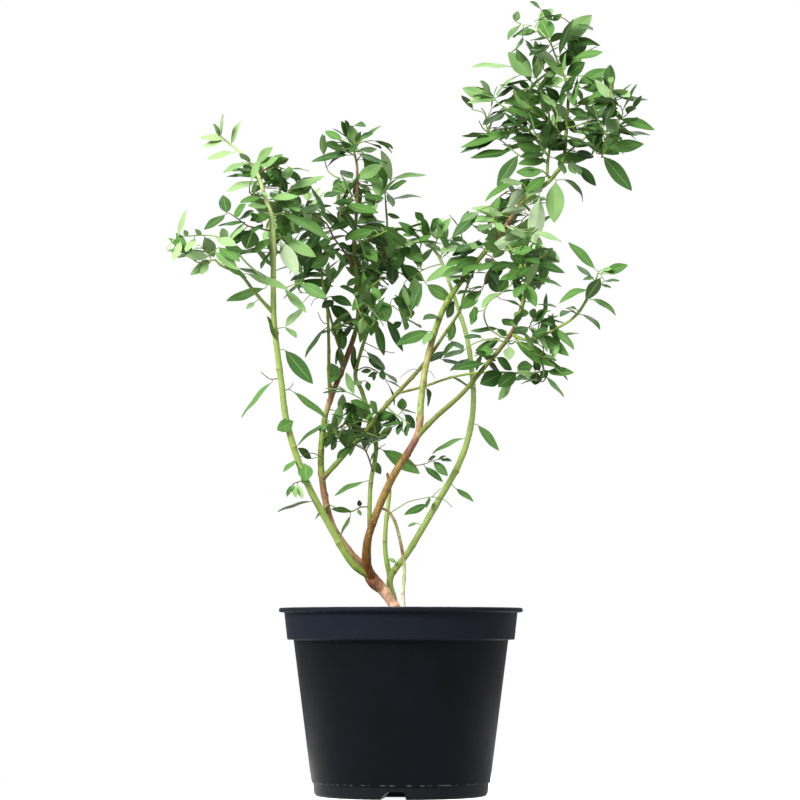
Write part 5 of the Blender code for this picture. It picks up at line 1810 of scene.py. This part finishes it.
def corner_arc(before, corner, after, radius):
    """A rounded corner of an outline."""
    into = (before - corner).normalized()
    out = (after - corner).normalized()
    half = math.acos(max(-1.0, min(1.0, into.dot(out)))) / 2
    back = min(radius / math.tan(half), 0.45 * (before - corner).length, 0.45 * (after - corner).length)
    real = back * math.tan(half)
    middle = corner + (into + out).normalized() * (real / math.sin(half))
    first = corner + into * back - middle
    last = corner + out * back - middle
    turn = first.angle_signed(last)
    return [middle + Matrix.Rotation(-turn * step / ARC_STEPS, 2) @ first for step in range(ARC_STEPS + 1)]


def pot_outline():
    """The wall's cut, from the underside's middle out, up, over the lip and down the inside."""
    slope = (BAND_TOP_RADIUS - BAND_FOOT_RADIUS) / (POT_HEIGHT - BAND_FOOT_HEIGHT)
    inner_top = BAND_FOOT_RADIUS - WALL + slope * (POT_HEIGHT - BAND_FOOT_HEIGHT)
    step_top = BAND_FOOT_HEIGHT + WALL
    # Radius, height and how far the corner is rounded, in millimetres
    corners = [
        (0, 0, 0),
        (FOOT_RADIUS, 0, 4.0),
        (FOOT_TOP_RADIUS, BODY_FOOT_HEIGHT - 0.0012, 0.5),
        (BODY_FOOT_RADIUS, BODY_FOOT_HEIGHT, 0.5),
        (BODY_TOP_RADIUS, BAND_FOOT_HEIGHT, 1.2),
        (BAND_FOOT_RADIUS, BAND_FOOT_HEIGHT, 1.3),
        (BAND_TOP_RADIUS, POT_HEIGHT - LIP_THICKNESS, 1.2),
        (LIP_RADIUS, POT_HEIGHT - LIP_THICKNESS, 1.6),
        (LIP_RADIUS, POT_HEIGHT, 1.7),
        (inner_top, POT_HEIGHT, 1.2),
        (BAND_FOOT_RADIUS - WALL, step_top, 1.0),
        (BODY_TOP_RADIUS - WALL, step_top, 1.0),
        (FOOT_TOP_RADIUS - WALL, POT_FLOOR, 3.0),
        (0, POT_FLOOR, 0),
    ]
    points = [Vector((radius, height)) for radius, height, _ in corners]
    found = [points[0]]
    for index in range(1, len(points) - 1):
        found += corner_arc(points[index - 1], points[index], points[index + 1], corners[index][2] * MM)
    found.append(points[-1])
    return found


def turned(outline):
    """A closed solid turned from an outline whose ends lie on the axis, with a little unevenness."""
    made = bmesh.new()
    rings = []
    for point in outline:
        if point.x < 1e-6:
            rings.append([made.verts.new((0, 0, point.y))])
            continue
        ring = []
        for step in range(POT_SEGMENTS):
            angle = math.tau * step / POT_SEGMENTS
            out = Vector((math.cos(angle), math.sin(angle), 0))
            swing = noise.noise(out * 1.3 + Vector((0, 0, point.y * 14))) * POT_UNEVENNESS
            ring.append(made.verts.new(out * (point.x + swing) + Vector((0, 0, point.y))))
        rings.append(ring)
    for lower, upper in zip(rings, rings[1:]):
        join_rings(made, lower, upper)
    return made


def channel_cutter(number):
    """A drain channel, with one slanted side and one steep one."""
    start = CHANNEL_START
    end = BODY_FOOT_RADIUS + 0.01
    half = CHANNEL_WIDTH / 2
    section = [
        (-half, -0.004),
        (half, -0.004),
        (half, 0.0),
        (half - CHANNEL_BEVEL, CHANNEL_HEIGHT - CHANNEL_BEVEL),
        (half - 0.0026, CHANNEL_HEIGHT),
        (-half + CHANNEL_SLANT + 0.002, CHANNEL_HEIGHT),
        (-half + CHANNEL_SLANT, CHANNEL_HEIGHT - CHANNEL_BEVEL),
        (-half, 0.0008),
    ]
    made = bmesh.new()
    near = [made.verts.new((start, across, up)) for across, up in section]
    far = [made.verts.new((end, across, up)) for across, up in section]
    join_rings(made, far, near)
    made.faces.new(near)
    made.faces.new(reversed(far))
    mesh = mesh_from(f"channel_{number}", made)
    cutter = bpy.data.objects.new(mesh.name, mesh)
    bpy.context.scene.collection.objects.link(cutter)
    cutter.rotation_euler.z = CHANNEL_TURN + math.tau * number / CHANNEL_COUNT
    return cutter


def pot_finish(choices):
    """Black moulded plastic: a fine grain, faint flow marks, dust and pale chips along its edges; painted
    light on the upper wall and the lip's top.
    """
    made = Finish("pot_plastic", choices.roughness, 0.04)
    places = made.places()
    height = made.part(places, 2)
    clouds = made.grain(places, 16.0, 3.0).rise(0.35, 0.7)
    # Painted light: the upper wall under the lip is painted lighter than the body below it
    painted_light_band = height.rise(BAND_FOOT_HEIGHT - 0.001, BAND_FOOT_HEIGHT + 0.001)
    ridge = abs(height - BODY_FOOT_HEIGHT).rise(0.0009, 0.0003)
    chipped = ridge * made.grain(places, 170.0, 2.0).rise(0.5, 0.62)
    worn_and_highlit = made.grain(places, 55.0, 3.0).rise(0.4, 0.75)
    # Painted highlight: patchy pale colour along the top of the lip
    lip = height.rise(POT_HEIGHT - 0.0012, POT_HEIGHT - 0.0001) * worn_and_highlit
    foot = height.rise(BODY_FOOT_HEIGHT, BODY_FOOT_HEIGHT - 0.003)
    body = tuple(choices.plastic)
    shade = made.mix(clouds * 0.5, body, between(body, colour(30, 33, 46), 0.4))
    # Painted light on the upper wall, lighter than the body
    shade = made.mix(painted_light_band * 0.55, shade, colour(34, 39, 50))
    shade = made.mix(foot * 0.5, shade, colour(34, 36, 40))
    shade = made.mix(chipped * 0.55, shade, tuple(choices.scuff_and_highlight))
    # Painted highlight on the lip's top, in the same pale colour as the chips
    shade = made.mix(lip * 0.4, shade, tuple(choices.scuff_and_highlight))
    made.bump(made.grain(places, 900.0, 2.0) + made.grain(places, 40.0, 2.0) * 1.5, 0.00022, 0.5)
    return made.paint(shade, 0.4 + clouds * 0.16 + chipped * 0.2)


def compost_finishes(choices):
    """Damp compost and three kinds of bark chips."""
    soil = Finish("compost", 0.9, 0.2)
    crumbs = soil.grain(soil.places(), 420.0, 4.0, 0.65)
    soil.bump(crumbs, 0.0012, 0.9)
    base = tuple(choices.compost)
    shade = soil.mix(crumbs.rise(0.35, 0.7), scaled(base, 0.35), base)
    soil.paint(soil.mix(soil.grain(soil.places(), 60.0).rise(0.5, 0.8) * 0.4, shade, colour(96, 70, 48)))
    made = [soil.material]
    tones = {"light": colour(128, 92, 62), "middle": colour(92, 62, 42), "dark": colour(54, 38, 28)}
    for name, tone in tones.items():
        chip = Finish(f"chip_{name}", 0.85, 0.2)
        grain = chip.grain(chip.stretched(160.0, 700.0), 1.0, 3.0)
        chip.bump(grain, 0.0006, 0.7)
        made.append(chip.paint(chip.mix(grain.rise(0.3, 0.75), scaled(tone, 0.5), tone)))
    return made


def soil_level(x, y):
    """Height of the compost's top, mounded round the trunk."""
    mound = SOIL_MOUND * math.exp(-((x * x + y * y) / MOUND_SPREAD))
    rough = SOIL_HEAPS * noise.fractal(Vector((x * 60, y * 60, 2)), 1.0, 2.0, 3)
    fine = SOIL_CRUMBS * noise.noise(Vector((x * 330, y * 330, 5)))
    return SOIL_HEIGHT + mound + rough + fine - 0.001


def compost_mesh(choices):
    """The compost's uneven top on a plug that fills the pot, with bark chips lying on it."""
    made = bmesh.new()
    wall = BAND_FOOT_RADIUS - WALL - 0.0006
    before = [made.verts.new((0, 0, soil_level(0, 0)))]
    rings = [(wall * ring / SOIL_RINGS, None) for ring in range(1, SOIL_RINGS + 1)]
    rings += [
        (wall, BAND_FOOT_HEIGHT + 0.003),
        (BODY_TOP_RADIUS - WALL - 0.001, BAND_FOOT_HEIGHT + 0.001),
        (FOOT_TOP_RADIUS - WALL - 0.002, POT_FLOOR + 0.002),
    ]
    for radius, height in rings:
        row = []
        for step in range(SOIL_SEGMENTS):
            angle = math.tau * step / SOIL_SEGMENTS
            x = radius * math.cos(angle)
            y = radius * math.sin(angle)
            row.append(made.verts.new((x, y, soil_level(x, y) if height is None else height)))
        join_rings(made, before, row)
        before = row
    made.faces.new(before)
    chance = random.Random(CHIP_SEED)
    for _ in range(choices.chips):
        radius = wall * 0.97 * math.sqrt(chance.random())
        angle = chance.uniform(0, math.tau)
        x = radius * math.cos(angle)
        y = radius * math.sin(angle)
        size = chance.uniform(*CHIP_SIZES)
        shape = Matrix.Diagonal((size, size * chance.uniform(0.35, 0.7), size * chance.uniform(0.2, 0.45), 1))
        turn = Euler([chance.uniform(-0.4, 0.4), chance.uniform(-0.4, 0.4), chance.uniform(0, math.tau)])
        place = Matrix.Translation((x, y, soil_level(x, y) + size * 0.12))
        matrix = place @ turn.to_matrix().to_4x4() @ shape
        chip = bmesh.ops.create_icosphere(made, subdivisions=1, radius=1, matrix=matrix)["verts"]
        slot = chance.choice((1, 2, 2, 3))
        for vertex in chip:
            vertex.co += Vector(chance.uniform(-0.2, 0.2) * size for _ in range(3))
        for face in {face for vertex in chip for face in vertex.link_faces}:
            face.material_index = slot
    return mesh_from("compost_top", made)


# Operators


class BUSH_OT_pot(Operator):
    """Turns the pot's wall, cuts its drain channels and finishes it"""

    bl_idname = "bush.pot"
    bl_label = "Pot"

    def execute(self, context):
        mesh = mesh_from("pot_wall", turned(pot_outline()))
        pot = finished("pot_wall", mesh, [pot_finish(context.scene.bush_pot)])
        cutters = [channel_cutter(number) for number in range(CHANNEL_COUNT)]
        for cutter in cutters:
            boolean = pot.modifiers.new(cutter.name, "BOOLEAN")
            boolean.operation = "DIFFERENCE"
            boolean.solver = "EXACT"
            boolean.object = cutter
        context.view_layer.update()
        graph = context.evaluated_depsgraph_get()
        cut = bpy.data.meshes.new_from_object(pot.evaluated_get(graph))
        pot.modifiers.clear()
        pot.data = cut
        for cutter in cutters:
            bpy.data.objects.remove(cutter)
        cut.set_sharp_from_angle(angle=POT_EDGE_ANGLE)
        placed(pot, "pot_plastic", "pot")
        return {"FINISHED"}


class BUSH_OT_compost(Operator):
    """Fills the pot with compost and strews bark chips on it"""

    bl_idname = "bush.compost"
    bl_label = "Compost"

    def execute(self, context):
        choices = context.scene.bush_pot
        piece = finished("compost_top", compost_mesh(choices), compost_finishes(choices))
        placed(piece, "compost", "compost")
        return {"FINISHED"}


class BUSH_OT_limbs(Operator):
    """Makes the trunk, the canes and the boughs with their bark"""

    bl_idname = "bush.limbs"
    bl_label = "Limbs"

    def execute(self, context):
        choices = context.scene.bush_limbs
        for name, finish in LIMB_FINISHES.items():
            mesh = limb_mesh(f"{name}_bark", finish, choices)
            piece = finished(f"{name}_bark", mesh, [limb_finish(name, finish, choices)])
            placed(piece, finish.slot, *finish.nodes)
        return {"FINISHED"}


class BUSH_OT_foliage(Operator):
    """Grows the twigs and the leaves of one part of the crown"""

    bl_idname = "bush.foliage"
    bl_label = "Foliage"

    region: EnumProperty(
        name="Part",
        description="Part of the crown",
        items=[(name, name.capitalize(), f"The {name} part") for name in REGIONS],
    )

    def execute(self, context):
        choices = context.scene.bush_leaves
        crown = grown_crown(self.region, choices)
        woods = twig_finishes()
        slots = list(woods)
        mould = Mould()
        for line, radii, wood in crown.twigs:
            mould.tube(line, radii, TWIG_SIDES, slots.index(wood))
        for foot, way in crown.buds:
            line = [foot, foot + way * (BUD_LENGTH / 2), foot + way * BUD_LENGTH]
            mould.tube(line, BUD_RADII, BUD_SIDES, slots.index("bud"))
        placed(mould.build(f"twigs_{self.region}", woods.values()), "green_cane")
        tints = [*TINT_ORDER, "grey"]
        shades = {tint: tuple(getattr(choices, tint)) for tint in tints}
        finishes = {tint: leaf_finishes(f"{tint}_{self.region}", shade) for tint, shade in shades.items()}
        leaves = leaf_piece(f"leaves_{self.region}", crown.leaves, finishes, choices.fold)
        placed(leaves, "foliage", *crown.nodes)
        print(f"{self.region}: {len(crown.leaves)} leaves and {len(crown.twigs)} twigs")
        return {"FINISHED"}


class BUSH_OT_stage(Operator):
    """Sets the floor, the soft light and the camera"""

    bl_idname = "bush.stage"
    bl_label = "Stage"

    def execute(self, context):
        scene = context.scene
        choices = scene.bush_stage
        made = bmesh.new()
        bmesh.ops.create_circle(made, cap_ends=True, segments=96, radius=FLOOR_RADIUS)
        mesh = bpy.data.meshes.new("floor")
        made.to_mesh(mesh)
        made.free()
        floor = Finish("floor_white", 0.9, 0.0)
        paint = floor.mix(floor.grain(floor.places(), 3.0) * 0.02, *FLOOR_SHADES)
        floor.feed(floor.shader.inputs["Emission Color"], WHITE)
        floor.feed(floor.shader.inputs["Emission Strength"], FLOOR_GLOW)
        ground = finished("floor", mesh, [floor.paint(paint)])
        ground.visible_diffuse = False
        for name, place, size, share in LIGHTS:
            self.light(name, place, size, choices.key * share)
        self.room(scene, choices.sky)
        data = bpy.data.cameras.new("camera")
        data.sensor_width = SENSOR_WIDTH
        data.lens = FOCUS_PIXELS * SENSOR_WIDTH / PHOTO_SIDE
        camera = bpy.data.objects.new("camera", data)
        camera.matrix_world = CAMERA_PLACE
        scene.collection.objects.link(camera)
        scene.camera = camera
        scene.view_settings.view_transform = "Standard"
        return {"FINISHED"}

    def light(self, name, place, size, power):
        data = bpy.data.lights.new(name, "AREA")
        data.size = size
        data.energy = power
        lamp = bpy.data.objects.new(name, data)
        lamp.location = place
        lamp.rotation_euler = (Vector((0, 0, 0.4)) - Vector(place)).to_track_quat("-Z", "Y").to_euler()
        bpy.context.scene.collection.objects.link(lamp)

    def room(self, scene, strength):
        """Even light from all round, in front of a plain white ground."""
        world = bpy.data.worlds.new("studio")
        world.use_nodes = True
        made = Nodes(world.node_tree)
        made.tree.nodes.remove(made.tree.nodes["Background"])
        height = made.part(made.node("TexCoord", output="Generated"), 2)
        reach = {"From Min": -0.6, "To Min": strength * LIGHT_FROM_BELOW, "To Max": strength}
        power = made.node("MapRange", None, {"Value": height, **reach})
        light = made.node("Background", None, {"Color": WHITE, "Strength": power})
        ground = made.node("Background", None, {"Color": WHITE})
        seen = made.node("LightPath", output="Is Camera Ray")
        both = made.node("MixShader", None, {0: seen, 1: light, 2: ground})
        made.feed(made.tree.nodes["World Output"].inputs["Surface"], both)
        scene.world = world


class BUSH_PT_panel(Panel):
    """Lists what the bush is made of"""

    bl_label = "Potted bush"
    bl_idname = "BUSH_PT_panel"
    bl_space_type = "VIEW_3D"
    bl_region_type = "UI"
    bl_category = "Bush"

    def draw(self, context):
        layout = self.layout
        for name, (group, operators) in SECTIONS.items():
            box = layout.box()
            box.label(text=name)
            choices = getattr(context.scene, group)
            for choice in choices.__annotations__:
                box.prop(choices, choice)
            for operator in operators:
                box.operator(operator)


SECTIONS = {
    "Pot": ("bush_pot", ("bush.pot", "bush.compost")),
    "Limbs": ("bush_limbs", ("bush.limbs",)),
    "Leaves": ("bush_leaves", ("bush.foliage",)),
    "Stage": ("bush_stage", ("bush.stage",)),
}
GROUPS = {
    "bush_pot": PotChoices,
    "bush_limbs": LimbChoices,
    "bush_leaves": LeafChoices,
    "bush_stage": StageChoices,
}
CLASSES = (
    *GROUPS.values(),
    BUSH_OT_pot,
    BUSH_OT_compost,
    BUSH_OT_limbs,
    BUSH_OT_foliage,
    BUSH_OT_stage,
    BUSH_PT_panel,
)


def register():
    for one in CLASSES:
        bpy.utils.register_class(one)
    for name, group in GROUPS.items():
        setattr(bpy.types.Scene, name, PointerProperty(type=group))


def unregister():
    for name in GROUPS:
        delattr(bpy.types.Scene, name)
    for one in reversed(CLASSES):
        bpy.utils.unregister_class(one)


def main():
    register()
    bpy.ops.bush.stage()
    bpy.ops.bush.pot()
    bpy.ops.bush.compost()
    bpy.ops.bush.limbs()
    for region in REGIONS:
        bpy.ops.bush.foliage(region=region)


if __name__ == "__main__":
    main()
